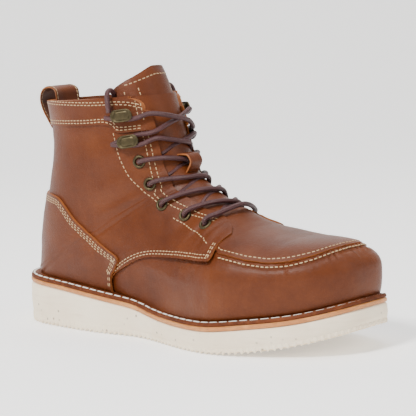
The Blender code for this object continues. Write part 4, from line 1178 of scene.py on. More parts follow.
def build_outsole():
    """The crepe wedge: a ring of side sections, with teeth round the tread and cross lugs."""
    count = 1100
    table = np.array(OUTLINE)
    loop = closed_curve(np.stack([along(table[:, 0]), table[:, 1] * BALL_WIDTH], 1), count)
    run = np.roll(loop, -1, axis=0) - np.roll(loop, 1, axis=0)
    run /= np.linalg.norm(run, axis=1)[:, None]
    inward = np.stack([-run[:, 1], run[:, 0]], 1)
    step = np.linalg.norm(np.roll(loop, -1, axis=0) - loop, axis=1)
    length = np.concatenate([[0.0], np.cumsum(step)])[:-1]
    total = step.sum()
    pitch = total / round(total / 0.0048)
    phase = (length / pitch) % 1.0
    tooth = smooth_step(np.abs(phase - 0.5), 0.25, 0.36)
    random = np.random.default_rng(4)
    depth = random.uniform(0.6, 1.0, int(round(total / pitch)) + 2)
    each = depth[np.minimum((length / pitch).astype(int), len(depth) - 1)]
    levels = sole_levels()
    points = []
    for share, inset in levels:
        for i in range(count):
            spot = loop[i] + inward[i] * inset
            low, high = float(tread_height(loop[i][0])), float(wedge_top(loop[i][0]))
            bite = 0.0016 * (1 - tooth[i]) * each[i] * (1.0 if share < 0.05 else 0.0)
            flute = 0.0007 * (1 - tooth[i]) * float(np.clip(1 - share / 0.24, 0, 1) > 0)
            spot = spot + inward[i] * flute * 0.8
            points.append((spot[0], spot[1], low + share * (high - low) + bite))
    faces = []
    for k in range(len(levels) - 1):
        for i in range(count):
            a, b = k * count + i, k * count + (i + 1) % count
            faces.append((a, b, b + count, a + count))
    top = (len(levels) - 1) * count
    faces.append(tuple(top + i for i in range(count)))
    start = len(points)
    for i in range(count):
        x, y = loop[i] + inward[i] * 0.0045
        points.append((x, y, float(tread_height(x)) + 0.0016))
    for i in range(count):
        j = (i + 1) % count
        faces.append((j, i, start + i, start + j))
    faces.append(tuple(start + i for i in reversed(range(count))))
    sole = add_mesh("crepe_outsole", points, faces, ["white_crepe"], smooth=40, welded=0)
    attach(sole, "root")
    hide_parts("outsole")
    edges = split_outline(0.0075)
    half = int(0.46 * LENGTH / LUG_PITCH)
    points, faces = [], []
    for i in range(-half, half + 1):
        middle = i * LUG_PITCH
        wide = (LUG_PITCH - LUG_GROOVE) / 2
        ends = (-wide, -wide + 0.0006, wide - 0.0006, wide)
        rows = []
        for x, drop in zip((middle + end for end in ends), (0.0005, 0.0, 0.0, 0.0005)):
            left, right = edge_at(edges, LATERAL, x), edge_at(edges, MEDIAL, x)
            if right - left < 0.01:
                continue
            low = float(tread_height(x)) + drop
            high = low + 0.0026
            rows.append([(x, left, low), (x, right, low), (x, right, high), (x, left, high)])
        if len(rows) == 4:
            made, made_faces = loft(rows)
            start = len(points)
            points += made
            faces += [tuple(start + k for k in face) for face in made_faces]
    tread = add_mesh("tread_lugs", points, faces, ["white_crepe"], smooth=30, welded=1e-6)
    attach(tread, "root")


def rim_ring(name, outer_profile, finish, node):
    """A strip round the sole from a list of (inset, height above) profile points."""
    count = 720
    table = np.array(OUTLINE)
    loop = closed_curve(np.stack([along(table[:, 0]), table[:, 1] * BALL_WIDTH], 1), count)
    run = np.roll(loop, -1, axis=0) - np.roll(loop, 1, axis=0)
    run /= np.linalg.norm(run, axis=1)[:, None]
    inward = np.stack([-run[:, 1], run[:, 0]], 1)
    points = []
    for inset, height in outer_profile:
        for i in range(count):
            spot = loop[i] + inward[i] * inset
            points.append((spot[0], spot[1], float(height(loop[i][0]))))
    size = len(outer_profile)
    faces = []
    for k in range(size):
        n = (k + 1) % size
        for i in range(count):
            j = (i + 1) % count
            faces.append((k * count + i, k * count + j, n * count + j, n * count + i))
    ring = add_mesh(name, points, faces, [finish], smooth=40, welded=1e-6)
    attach(ring, "root")
    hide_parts(node)
    return ring


def build_welt():
    """The midsole edge, the welt on it, and the long lock stitches round the welt."""

    def lift(start, rise):
        return lambda x: start(x) + rise

    low = lift(wedge_top, CLEAR * 0.3)
    mid = (
        (0.0010, lift(low, 0.0)),
        (0.0002, lift(low, 0.0004)),
        (0.0, lift(low, 0.0012)),
        (0.0001, lift(midsole_top, -0.0006)),
        (0.0008, lift(midsole_top, 0.0)),
        (0.0200, lift(midsole_top, 0.0)),
        (0.0200, lift(low, 0.0)),
    )
    rim_ring("midsole_edge", mid, "midsole_leather", "midsole")
    base = lift(midsole_top, CLEAR * 0.3)
    welt = (
        (0.0012, lift(base, 0.0)),
        (0.0004, lift(base, 0.0004)),
        (0.0003, lift(base, 0.0014)),
        (0.0008, lift(welt_top, -0.0005)),
        (0.0012, lift(welt_top, 0.0)),
        (0.0016, lift(welt_top, -0.0001)),
        (0.0026, lift(welt_top, -0.0006)),
        (0.0036, lift(welt_top, -0.0001)),
        (0.0060, lift(welt_top, 0.0)),
        (WELT_WIDTH, lift(welt_top, 0.0)),
        (WELT_WIDTH, lift(base, 0.0)),
    )
    rim_ring("welt_strip", welt, "welt_strap", "welt")
    line = sole_outline(0.0026)
    line = np.vstack([line, line[:3]])
    places = [(x, y, float(welt_top(x)) + 0.00005) for x, y in line]
    normals = [(0.0, 0.0, 1.0)] * len(places)
    size = {"pitch": 0.0078, "length": 0.0056, "thick": 0.00095, "sunk": 0.35}
    sew("welt_stitches", [(places, normals)], "white_thread", **size)


def build_insole():
    edges = split_outline(lambda x: np.maximum(WELT_WIDTH + INSOLE_CLEAR, ledge(x) + WALL + INSOLE_SIDE))
    rows = []
    for x in stations(edges, 90):
        left, right = edge_at(edges, LATERAL, x), edge_at(edges, MEDIAL, x)
        low, high = midsole_top(x) + CLEAR, welt_top(x) + INSOLE_STAND
        ring = [(left, low), (right, low), (right, high - 0.0006), (right - 0.0008, high)]
        ring += [(left + 0.0008, high), (left, high - 0.0006)]
        rows.append([(x, y, z) for y, z in ring])
    board = add_mesh("insole_board", *loft(rows), ["lining_leather"], smooth=40, welded=1e-6)
    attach(board, "root")
    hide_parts("insole")


# Tongue, keeper and pull loop

# Where the loop's stitch rows run, as a share of its half width.
LOOP_SEAM = 0.86


def closed_sheet(grid_low, grid_high):
    """Points and faces of a closed sheet from two grids of the same size."""
    rows, columns = len(grid_low), len(grid_low[0])
    points = [p for row in grid_low for p in row] + [p for row in grid_high for p in row]
    block = rows * columns
    faces = []
    for i in range(rows - 1):
        for j in range(columns - 1):
            a = i * columns + j
            faces.append((a, a + 1, a + columns + 1, a + columns))
            faces.append((block + a + columns, block + a + columns + 1, block + a + 1, block + a))
    edge = list(range(columns)) + [i * columns + columns - 1 for i in range(1, rows)]
    edge += [block - 1 - j for j in range(1, columns)] + [i * columns for i in range(rows - 2, 0, -1)]
    for i, a in enumerate(edge):
        b = edge[(i + 1) % len(edge)]
        faces.append((a, b, block + b, block + a))
    return points, faces


def tongue_at(s):
    """Half width and extra depth of the tongue at this row."""
    table = np.array(TONGUE_ROWS)
    share = np.interp(s, table[:, 0], table[:, 1])
    broad = np.interp(s, (0.0, 0.25, 0.6, 2.5, 5.0), (1.02, 1.08, 1.12, 1.10, 0.93))
    wide = (share if s > 4.9 else broad) * TONGUE_WIDTH / 2
    return float(wide), float(np.interp(s, table[:, 0], table[:, 2]))


def tongue_row(s, v):
    """The row at this share across the tongue: its top edge falls towards the near side."""
    fade = max(0.0, 1 - s / 6.0)
    return s + fade * (0.40 * max(0.0, -v) ** 1.4 + 0.10 * max(0.0, v) ** 3)


def build_tongue():
    """The padded tongue, its top overlay with stitching, and the keeper."""
    upper = boot().upper
    distances = np.linspace(0, 1, 110)
    line = np.array([upper.crown_point(s, 0.0) for s in np.linspace(0, 19.0, 400)])
    run = np.concatenate([[0.0], np.cumsum(np.linalg.norm(np.diff(line, axis=0), axis=1))])
    rows = np.interp(distances * run[-1], run, np.linspace(0, 19.0, 400))
    top_lift = -WALL - TONGUE_CLEAR
    spread = np.linspace(-1, 1, 33)

    def grid(depth, scale=1.0, bulge=0.0, rows=rows):
        made = []
        for s in rows:
            wide, drop = tongue_at(s)
            start = 1 - max(0.0, 1 - s / 0.4) ** 2 * 0.16
            ripple = 0.0004 * math.sin(5.0 * s)
            row = []
            for v in spread:
                puff = bulge * (1 - v * v) ** 0.5
                y = wide * scale * start * v
                lift = top_lift - drop - depth + puff + ripple * (1 - v * v)
                row.append(tuple(upper.crown(tongue_row(s, v), y, lift)))
            made.append(row)
        return made

    points, faces = closed_sheet(grid(TONGUE), grid(0.0, bulge=0.0006))
    # The tongue's finish is the boot leather darkened as painted shade.
    tongue = add_mesh("tongue_leather_piece", points, faces, ["soft_leather_painted_shade"], smooth=40)
    finish_plain(tongue, "tongue")
    high = rows[rows < 5.9]
    points, faces = closed_sheet(grid(-0.0004, 0.96, 0.0006, high), grid(-0.0018, 0.95, 0.0006, high))
    flap = add_mesh("tongue_overlay", points, faces, ["boot_leather"], smooth=40)
    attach(flap, "root")
    tree = tree_of(flap)

    def laid(rows_across):
        places, normals = [], []
        for s, v in rows_across:
            point, normal = upper.crown_frame(tongue_row(s, v), tongue_at(s)[0] * v)
            start = Vector(np.array(point) + np.array(normal) * 0.01)
            place, _, _, away = tree.ray_cast(start, -Vector(normal))
            if place is not None and away < 0.02:
                places.append(tuple(place))
                normals.append(tuple(normal))
        return places, normals

    spread = np.linspace(-0.86, 0.86, 60)
    paths = [laid([(s, v) for v in spread]) for s in (0.30, 5.5, 5.2)]
    paths += [laid([(s, v) for s in np.linspace(0.5, 5.4, 80)]) for v in (-0.62, 0.62, -0.86, 0.86)]
    sew("tongue_stitches", paths, "cream_thread")
    middle = upper.slid((EYELETS[0][0] + EYELETS[1][0]) / 2, 0.0)
    base = top_lift + 2 * CLEAR + KEEPER_THICK / 2
    path = [upper.crown(upper.slid(middle, a), 0.0, base + b) for a, b in KEEPER_PATH]
    line = curve_through(path, 60)
    strip("lace_keeper_strap", line, KEEPER_WIDTH, KEEPER_THICK, 0.0, "lace_keeper")


def finish_plain(piece, node):
    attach(piece, "root")
    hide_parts(node)


def strip(name, line, width, thick, bow, node):
    """A strap along a line in the middle plane, with rounded edges."""
    run = np.gradient(line, axis=0)
    run /= np.linalg.norm(run, axis=1)[:, None]
    face = np.stack([-run[:, 2], 0 * run[:, 0], run[:, 0]], 1)
    over = [(-1, 0.35), (-0.965, 0.8), (-0.9, 1), (-0.5, 1), (0, 1)]
    over += [(0.5, 1), (0.9, 1), (0.965, 0.8), (1, 0.35)]
    across = [(-1, -0.35)] + over + [(y, -t) for y, t in reversed(over[1:])]
    rows = []
    for point, turn in zip(line, face):
        ring = []
        for y, t in across:
            spot = point + turn * t * thick / 2 + np.array([bow * y * y, y * width / 2, 0.0])
            ring.append(spot)
        rows.append(ring)
    piece = add_mesh(name, *loft(rows), ["boot_leather", "raw_edge"], smooth=50, welded=1e-6)
    for poly in piece.data.polygons:
        if abs(poly.normal.y) > 0.75:
            poly.material_index = 1
    finish_plain(piece, node)
    return face


def build_loop():
    """The pull loop at the back, and its edge stitching."""
    back = seat(along(0.0))
    outer = along(SECTIONS[COLLAR_ROW][0]) - CLEAR - OVERLAY
    inner = along(SECTIONS[COLLAR_ROW][0]) + WALL
    rim = back + SECTIONS[COLLAR_ROW][1] * SHAFT
    out = outer - CLEAR - LOOP_THICK / 2
    path = [
        (out + 0.0016, rim - 0.0225),
        (out - 0.0030, rim - 0.0160),
        (out - 0.0080, rim - 0.0080),
        (out - LOOP_REACH, rim - 0.0005),
        (out - 0.0070, rim + 0.0062),
        (out + 0.0005, rim + 0.0085),
        (inner + 0.0005, rim + 0.0060),
        (inner + 0.0020, rim - 0.0005),
        (inner + 0.0033, rim - 0.0100),
    ]
    flat = curve_through(path, 70)
    line = np.stack([flat[:, 0], 0 * flat[:, 0], flat[:, 1]], 1)
    face = strip("pull_loop_strap", line, LOOP_WIDTH, LOOP_THICK, LOOP_BOW, "pull_loop")
    paths = []
    for side in (-1, 1):
        aside = np.array([LOOP_BOW * LOOP_SEAM**2, side * LOOP_SEAM * LOOP_WIDTH / 2, 0.0])
        for t in (1, -1):
            paths.append((line + face * t * LOOP_THICK / 2 + aside, face * t))
    sew("loop_stitches", paths, "cream_thread", pitch=0.0029, length=0.0023)


# Brass


def spun(profile, count, turn):
    """Points and faces of a closed profile of (radius, rise) turned round an axis."""
    points, faces = [], []
    size = len(profile)
    for i in range(count):
        angle = 2 * math.pi * i / count
        for radius, rise in profile:
            points.append(turn @ Vector((radius * math.cos(angle), radius * math.sin(angle), rise)))
        a, b = size * i, size * ((i + 1) % count)
        faces += [(a + j, a + (j + 1) % size, b + (j + 1) % size, b + j) for j in range(size)]
    return points, faces


def hole_turn(upper, side, place, rise):
    s, y = upper.hole(side, place)
    point, normal = upper.crown_frame(s, y)
    ahead = upper.crown(s, y - side * 0.004, 0.0) - upper.crown(s, y, 0.0)
    centre = np.array(point) + np.array(normal) * rise
    return placed(centre, normal, ahead)


def build_hardware():
    """Rolled eyelets and speed hooks in antique brass."""
    upper = boot().upper
    inner, outer = EYELET_HOLE / 2, EYELET / 2
    for side, label in ((LATERAL, "lateral"), (MEDIAL, "medial")):
        for i, place in enumerate(EYELETS):
            turn = hole_turn(upper, side, place, panel_top(place[0]) - CLEAR)
            ring = []
            for k in range(14):
                angle = math.pi * k / 13
                middle, half = (inner + outer) / 2, (outer - inner) / 2
                ring.append((middle - half * math.cos(angle), 0.0002 + 0.00125 * math.sin(angle)))
            profile = ring + [(outer - 0.0003, -0.0004), (inner + 0.0003, -0.0018)]
            points, faces = spun(profile, 48, turn)
            name = f"brass_eyelet_{label}_{i + 1}"
            eyelet = add_mesh(name, points, faces, ["antique_brass"], smooth=60, welded=1e-6)
            finish_plain(eyelet, f"eyelet_{label}_{i + 1}")
        for i, place in enumerate(HOOKS):
            turn = hole_turn(upper, side, place, panel_top(place[0], i == 0) - CLEAR)
            hook_piece(f"brass_hook_{label}_{i + 1}", turn, f"lace_hook_{label}_{i + 1}")


def hook_piece(name, turn, node):
    """A speed hook: base plate, a neck, and a domed oval plate, made of rounded rings."""
    points, faces = [], []
    half, wide = HOOK_LENGTH / 2, HOOK_WIDTH / 2
    count = 40

    def oval(scale_long, scale_wide, rise):
        ring = []
        for k in range(count):
            angle = 2 * math.pi * k / count
            c, d = math.cos(angle), math.sin(angle)
            reach = (half - wide) * math.copysign(1.0, c) * min(1.0, abs(c) * 3.0)
            x = reach + wide * scale_wide * c
            ring.append((x * scale_long, wide * scale_wide * d, rise))
        return ring

    top = 2 * HOOK_PLATE + HOOK_SPACE
    base = [
        oval(0.80, 0.80, 0.0),
        oval(0.82, 0.82, 0.0004),
        oval(0.80, 0.80, 0.0009),
        oval(0.76, 0.74, 0.0011),
    ]
    plate = [
        oval(0.92, 0.90, top - HOOK_PLATE),
        oval(0.98, 0.98, top - HOOK_PLATE + 0.0002),
        oval(1.0, 1.0, top - HOOK_PLATE + 0.0007),
        oval(0.985, 0.97, top + 0.0001),
        oval(0.94, 0.90, top + 0.0003),
        oval(0.89, 0.82, top + 0.0002),
        oval(0.85, 0.74, top - 0.0004),
        oval(0.80, 0.66, top - 0.0004),
        oval(0.76, 0.58, top + 0.0001),
        oval(0.66, 0.44, top + 0.0002),
        oval(0.30, 0.16, top + 0.0002),
    ]
    neck = []
    for rise, swell in ((0.0006, 1.25), (0.0016, 1.0), (0.0030, 0.9), (0.0044, 1.0), (top - 0.0006, 1.25)):
        ring = []
        for k in range(count):
            angle = 2 * math.pi * k / count
            ring.append((0.0012 + 0.0014 * swell * math.cos(angle), 0.0030 * swell * math.sin(angle), rise))
        neck.append(ring)
    for rows in (base, plate, neck):
        made, made_faces = loft(rows)
        start = len(points)
        points += [turn @ Vector(p) for p in made]
        faces += [tuple(start + i for i in face) for face in made_faces]
    hook = add_mesh(name, points, faces, ["antique_brass"], smooth=50, welded=1e-6)
    finish_plain(hook, node)


# Laces


def braided(path, count, sides=16):
    """A round cord along a path, with UV along and round it: points, faces and uvs."""
    line = curve_through(path, count)
    run = np.gradient(line, axis=0)
    run /= np.linalg.norm(run, axis=1)[:, None]
    steps = np.concatenate([[0.0], np.cumsum(np.linalg.norm(np.diff(line, axis=0), axis=1))])
    up = np.array([0.0, 0.0, 1.0])
    points, uvs = [], []
    for point, ahead, far in zip(line, run, steps):
        across = np.cross(up, ahead)
        across /= max(np.linalg.norm(across), 1e-6)
        over = np.cross(ahead, across)
        for k in range(sides + 1):
            turn = 2 * math.pi * k / sides
            flat = 1.0 - 0.06 * abs(math.sin(turn))
            points.append(point + LACE / 2 * flat * (math.cos(turn) * across + math.sin(turn) * over))
            uvs.append((far * 1000, k / sides))
    size = sides + 1
    faces = []
    for i in range(len(line) - 1):
        for k in range(sides):
            a = i * size + k
            faces.append((a, a + 1, a + 1 + size, a + size))
    last = (len(line) - 1) * size
    faces.append(tuple(range(sides)))
    faces.append(tuple(last + k for k in reversed(range(sides))))
    return points, faces, uvs


def lace_piece(name, paths, nodes, count=80):
    points, faces, uvs = [], [], []
    for path in paths:
        made, made_faces, made_uvs = braided(path, count)
        start = len(points)
        points += made
        uvs += made_uvs
        faces += [tuple(start + i for i in face) for face in made_faces]
    piece = add_mesh(name, points, faces, ["waxed_lace"], smooth=60, welded=1e-7, uvs=uvs)
    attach(piece, "root")
    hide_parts(*nodes)
    return piece


def lace_path(upper, k, side, middle, low):
    """One lace from inside the far flap over to the hole or hook on this side."""
    places = HOOKS + EYELETS
    edge = THROAT / 2
    s_low, y_low = upper.hole(-side, places[k + 1])
    s_high, y_high = upper.hole(side, places[k])
    lift = panel_top(s_high, k == 0) + LACE / 2 + 0.0002
    path = []
    if k > 0:
        start = s_low - 0.15 * (s_low - s_high)
        path += [(start, -side * (edge + 0.0005), low - 0.0004), (start, -side * (edge - 0.0022), low)]
    else:
        start = upper.slid(s_low, -HOOK_PASS)
        low_lift = panel_top(s_low) + LACE / 2 + 0.0014
        back = upper.slid(s_low, -0.0012)
        path += [(s_low, y_low - side * 0.0036, low_lift), (back, y_low - side * 0.0022, low_lift)]
        path += [(start, y_low + side * 0.0030, low_lift), (start, -side * edge, low_lift + 0.0002)]
    step = s_high - start
    path += [(start + 0.34 * step, -side * 0.008, middle), (start + 0.5 * step, 0.0, middle)]
    path += [(start + 0.72 * step, side * 0.010, max(middle + 0.0008, lift - 0.0022))]
    if k > 1:
        path += [(start + 0.92 * step, side * (edge - 0.0005), lift)]
        path += [(s_high, y_high - side * 0.0022, lift + 0.0009)]
        path += [(s_high, y_high - side * 0.0004, lift + 0.0002)]
        path += [(s_high, y_high + side * 0.0002, lift - 0.0030)]
    else:
        beside = upper.slid(s_high, HOOK_PASS)
        near = upper.slid(s_high, 0.0012)
        rise = lift + 0.0012
        path += [(start + 0.9 * step, side * (edge - 0.0005), rise), (beside, y_high - side * 0.0030, rise)]
        path += [(near, y_high + side * 0.0024, rise), (s_high, y_high + side * 0.0036, rise)]
    return [upper.crown(s, y, rise) for s, y, rise in path]


def build_laces():
    """The bar, the crossings and the two ends that drop into the shaft."""
    upper = boot().upper
    low = -WALL - TONGUE_CLEAR + 3 * CLEAR + LACE / 2
    high = low + 0.92 * LACE
    last = len(HOOKS + EYELETS) - 1
    (s0, y0), (s1, y1) = (upper.hole(side, EYELETS[-1]) for side in (LATERAL, MEDIAL))
    top = panel_top(s0) + LACE / 2 + 0.0008
    ahead = upper.slid(s0, BAR_AHEAD)
    path = [(s0, y0 - 0.0002, top - 0.0032), (s0, y0 + 0.0004, top), (s0, y0 + 0.0022, top + 0.0008)]
    path += [(ahead, -THROAT / 2, top), (ahead, 0.0, top), (ahead, THROAT / 2, top)]
    path += [(s1, y1 - 0.0022, top + 0.0008), (s1, y1 - 0.0004, top), (s1, y1 + 0.0002, top - 0.0032)]
    lace_piece("lace_bar_cord", [[upper.crown(s, y, lift) for s, y, lift in path]], ["lace_bar"])
    for k in range(last):
        extra = 0.004 if k == 0 else 0.0
        paths = [
            lace_path(upper, k, LATERAL, high + extra, low),
            lace_path(upper, k, MEDIAL, low + extra, low),
        ]
        lace_piece(f"lace_cross_cord_{k + 1}", paths, [f"lace_cross_{k + 1}"])
    for side, label in ((LATERAL, "lateral"), (MEDIAL, "medial")):
        path = [np.array((x, side * y, z)) for x, y, z in LACE_END]
        piece = lace_piece(f"lace_end_cord_{label}", [path], [f"lace_end_{label}"])
        line = curve_through(path, 80)


# Materials


class Value:
    """A socket, or a number, with arithmetic that adds Math nodes."""

    def __init__(self, tree, socket):
        self.tree = tree
        self.socket = socket

    def math(self, operation, first, second=None, clamp=False):
        node = self.tree.nodes.new("ShaderNodeMath")
        node.operation = operation
        node.use_clamp = clamp
        for slot, item in enumerate((first, second)):
            if item is None:
                continue
            if isinstance(item, Value):
                self.tree.links.new(item.socket, node.inputs[slot])
            else:
                node.inputs[slot].default_value = item
        return Value(self.tree, node.outputs[0])

    def __add__(self, other):
        return self.math("ADD", self, other)

    def __radd__(self, other):
        return self.math("ADD", other, self)

    def __sub__(self, other):
        return self.math("SUBTRACT", self, other)

    def __rsub__(self, other):
        return self.math("SUBTRACT", other, self)

    def __mul__(self, other):
        return self.math("MULTIPLY", self, other)

    def __rmul__(self, other):
        return self.math("MULTIPLY", other, self)

    def __truediv__(self, other):
        return self.math("DIVIDE", self, other)

    def __pow__(self, other):
        return self.math("POWER", self, other)

    def above(self, level, width):
        """0 below the level and 1 above it, over this width."""
        return self.math("MULTIPLY", self.math("SUBTRACT", self, level - width / 2), 1 / width, clamp=True)

    def sine(self):
        return self.math("SINE", self)

    def absolute(self):
        return self.math("ABSOLUTE", self)

    def clamped(self):
        return self.math("ADD", self, 0.0, clamp=True)


class Finish:
    """A material under construction."""

    def __init__(self, name):
        self.material = bpy.data.materials.new(name)
        self.material.use_nodes = True
        self.tree = self.material.node_tree
        self.shader = self.tree.nodes["Principled BSDF"]
        self.place = self.node("ShaderNodeTexCoord", output="Object")

    def node(self, kind, settings=None, values=None, output=0):
        """Any node: its settings first, then the values or links of its sockets."""
        made = self.tree.nodes.new(kind)
        for key, item in (settings or {}).items():
            setattr(made, key, item)
        for key, item in (values or {}).items():
            if isinstance(item, Value):
                self.tree.links.new(item.socket, made.inputs[key])
            else:
                made.inputs[key].default_value = item
        return Value(self.tree, made.outputs[output])

    def noise(self, scale, detail=3.0, rough=0.55, stretch=None, distort=0.0):
        place = self.place
        if stretch:
            place = self.node("ShaderNodeMapping", values={"Vector": place, "Scale": stretch})
        values = {"Vector": place, "Scale": scale, "Detail": detail}
        values |= {"Roughness": rough, "Distortion": distort}
        return self.node("ShaderNodeTexNoise", values=values, output="Fac")

    def cells(self, scale, feature="F1", output="Distance", jitter=1.0):
        values = {"Vector": self.place, "Scale": scale, "Randomness": jitter}
        return self.node("ShaderNodeTexVoronoi", {"feature": feature}, values, output)

    def mix(self, factor, first, second):
        """A mix of two colours, each a tuple or a link."""
        made = self.tree.nodes.new("ShaderNodeMix")
        made.data_type = "RGBA"
        sockets = {"A": made.inputs[6], "B": made.inputs[7]}
        for key, item in (("A", first), ("B", second)):
            if isinstance(item, Value):
                self.tree.links.new(item.socket, sockets[key])
            else:
                sockets[key].default_value = (*item, 1.0)
        if isinstance(factor, Value):
            self.tree.links.new(factor.socket, made.inputs[0])
        else:
            made.inputs[0].default_value = factor
        return Value(self.tree, made.outputs[2])

    def feed(self, name, item):
        if isinstance(item, Value):
            self.tree.links.new(item.socket, self.shader.inputs[name])
        else:
            self.shader.inputs[name].default_value = item

    def bump(self, height, distance, strength=1.0):
        values = {"Height": height, "Distance": distance, "Strength": strength}
        self.feed("Normal", self.node("ShaderNodeBump", values=values))


def leather(name, colours, gloss, grain=1.0):
    """Oiled pull-up leather: dark in the folds, paler where it is stretched or rubbed."""
    dark, middle, pale = colours
    made = Finish(name)
    cloud = made.noise(15.0, 4.0, 0.6)
    mottle = made.noise(70.0, 4.0, 0.6)
    fine = made.noise(420.0, 3.0, 0.6)
    pores = made.cells(950.0, "DISTANCE_TO_EDGE")
    scuff = made.noise(26.0, 5.0, 0.6, stretch=(1.0, 1.0, 1.5), distort=0.3)
    tone = made.mix(cloud.above(0.50, 0.6) * 0.7, dark, middle)
    tone = made.mix((mottle.above(0.52, 0.5) * 0.45), tone, middle)
    pull = scuff.above(0.58, 0.28) * cloud.above(0.44, 0.4)
    tone = made.mix(pull * 0.30, tone, pale)
    tone = made.mix(fine.above(0.40, 0.3) * 0.18, tone, dark)
    made.feed("Base Color", tone)
    made.feed("Roughness", (0.44 + mottle * 0.14 - pull * 0.05) * gloss)
    made.feed("Specular IOR Level", 0.20)
    made.feed("Coat Weight", 0.03)
    made.feed("Coat Roughness", 0.30)
    creases = made.cells(210.0, "DISTANCE_TO_EDGE").above(0.05, 0.10)
    height = pores.above(0.10, 0.2) * 0.35 + fine * 0.5 + mottle * 1.1 + creases * 0.22
    made.bump(height, 0.00022 * grain, 0.7)
    return made


def raw_edge_finish(look):
    """The tan, fibrous look of cut leather."""
    made = Finish("raw_edge")
    fibre = made.noise(700.0, 4.0, 0.7)
    blotch = made.noise(120.0, 3.0, 0.6)
    deep = tuple(c * 0.62 for c in look.edge_colour)
    tone = made.mix(blotch.above(0.5, 0.4), tuple(look.edge_colour), deep)
    made.feed("Base Color", made.mix(fibre.above(0.5, 0.3) * 0.35, tone, (0.20, 0.07, 0.025)))
    made.feed("Roughness", 0.62)
    made.bump(fibre, 0.0002, 0.6)


def lining_finish(look):
    """Soft, pale brown leather inside the boot."""
    made = Finish("lining_leather")
    blotch = made.noise(90.0, 4.0, 0.6)
    made.feed("Base Color", made.mix(blotch, (0.34, 0.20, 0.11), (0.46, 0.30, 0.18)))
    made.feed("Roughness", 0.75)
    made.bump(made.noise(500.0), 0.0002, 0.5)


def crepe_finish(look):
    """Cream crepe with faint clouds, dark specks and pits."""
    made = Finish("white_crepe")
    large = made.noise(20.0, 4.0, 0.6)
    small = made.noise(240.0, 5.0, 0.62)
    specks = made.cells(150.0)
    gate = made.noise(38.0, 2.0, 0.5)
    dots = (1 - specks.above(0.13, 0.10)) * gate.above(0.47, 0.05)
    streak = made.noise(60.0, 4.0, 0.6, stretch=(0.6, 0.6, 6.0))
    tone = made.mix(large.above(0.5, 0.5) * 0.45, tuple(look.sole_colour), (0.66, 0.50, 0.31))
    tone = made.mix(streak.above(0.62, 0.22) * 0.22, tone, (0.58, 0.42, 0.25))
    tone = made.mix(dots * 0.75, tone, (0.16, 0.10, 0.06))
    made.feed("Base Color", tone)
    made.feed("Roughness", 0.62 + small * 0.2)
    made.feed("Subsurface Weight", 0.05)
    made.feed("Subsurface Radius", (0.004, 0.003, 0.002))
    pits = 1 - made.cells(620.0).above(0.22, 0.2) * small.above(0.5, 0.3)
    made.bump(small * 0.8 + large * 0.6 + pits * 0.4, 0.00035, 0.6)


def midsole_finish(look):
    """The tan edge of the midsole, with grain along it."""
    made = Finish("midsole_leather")
    grain = made.noise(260.0, 4.0, 0.65, stretch=(1.0, 1.0, 4.0))
    blotch = made.noise(46.0, 3.0, 0.6)
    tone = made.mix(blotch.above(0.5, 0.4), (0.44, 0.155, 0.038), (0.58, 0.25, 0.075))
    made.feed("Base Color", made.mix(grain.above(0.56, 0.2) * 0.45, tone, (0.20, 0.055, 0.014)))
    made.feed("Roughness", 0.5)
    made.bump(grain, 0.0003, 0.6)


def welt_finish(look):
    """Dark brown strap leather."""
    made = Finish("welt_strap")
    grain = made.noise(300.0, 4.0, 0.65)
    blotch = made.noise(60.0, 3.0, 0.6)
    tone = made.mix(blotch.above(0.5, 0.4), (0.060, 0.014, 0.004), (0.125, 0.032, 0.009))
    made.feed("Base Color", made.mix(grain.above(0.6, 0.2) * 0.4, tone, (0.20, 0.062, 0.018)))
    made.feed("Roughness", 0.6)
    made.feed("Specular IOR Level", 0.15)
    made.bump(grain, 0.0003, 0.6)


def thread_finishes(look):
    """The two threads, with a slight twist."""
    for name, colour in (("cream_thread", look.thread_colour), ("white_thread", look.welt_thread_colour)):
        made = Finish(name)
        twist = made.noise(900.0, 2.0, 0.5)
        made.feed("Base Color", made.mix(twist, tuple(colour), tuple(c * 0.72 for c in colour)))
        made.feed("Roughness", 0.6)
        made.bump(twist, 0.00015, 0.7)


def brass_finish(look):
    """Brass with a dark patina."""
    made = Finish("antique_brass")
    patina = made.noise(300.0, 5.0, 0.6)
    rub = made.noise(600.0, 3.0, 0.6)
    tone = made.mix(patina.above(0.46, 0.5), (0.045, 0.036, 0.018), tuple(look.brass_colour))
    made.feed("Base Color", tone)
    made.feed("Metallic", 0.85 + patina * 0.1)
    made.feed("Roughness", 0.34 + rub * 0.22)
    made.bump(patina * 0.6 + rub * 0.3, 0.0002, 0.5)


def lace_finish(look):
    """A waxed lace, its weave drawn on the lace's own UV map, with painted shade in the grooves between its
    strands.
    """
    made = Finish("waxed_lace")
    split = made.tree.nodes.new("ShaderNodeSeparateXYZ")
    spread = made.node("ShaderNodeUVMap", {"uv_map": "UVMap"})
    made.tree.links.new(spread.socket, split.inputs[0])
    far, round_ = Value(made.tree, split.outputs[0]), Value(made.tree, split.outputs[1])
    turn = 2 * math.pi
    one = (far * (turn / 1.9) + round_ * (turn * 4)).sine()
    two = (far * (turn / 1.9) - round_ * (turn * 4)).sine()
    weave = (one * two) * 0.5 + 0.5
    wear = made.noise(90.0, 4.0, 0.6)
    # deep is the lace colour darkened where the weave is low, in the grooves between strands: painted shade
    # laid on the braid's pattern.
    deep = tuple(c * 0.45 for c in look.lace_colour)
    tone = made.mix(weave.above(0.45, 0.6), deep, tuple(look.lace_colour))
    tone = made.mix(wear.above(0.55, 0.3) * 0.4, tone, tuple(min(1.0, c * 1.5) for c in look.lace_colour))
    made.feed("Base Color", tone)
    made.feed("Roughness", 0.52)
    made.feed("Specular IOR Level", 0.4)
    made.bump(weave, 0.00035, 0.9)


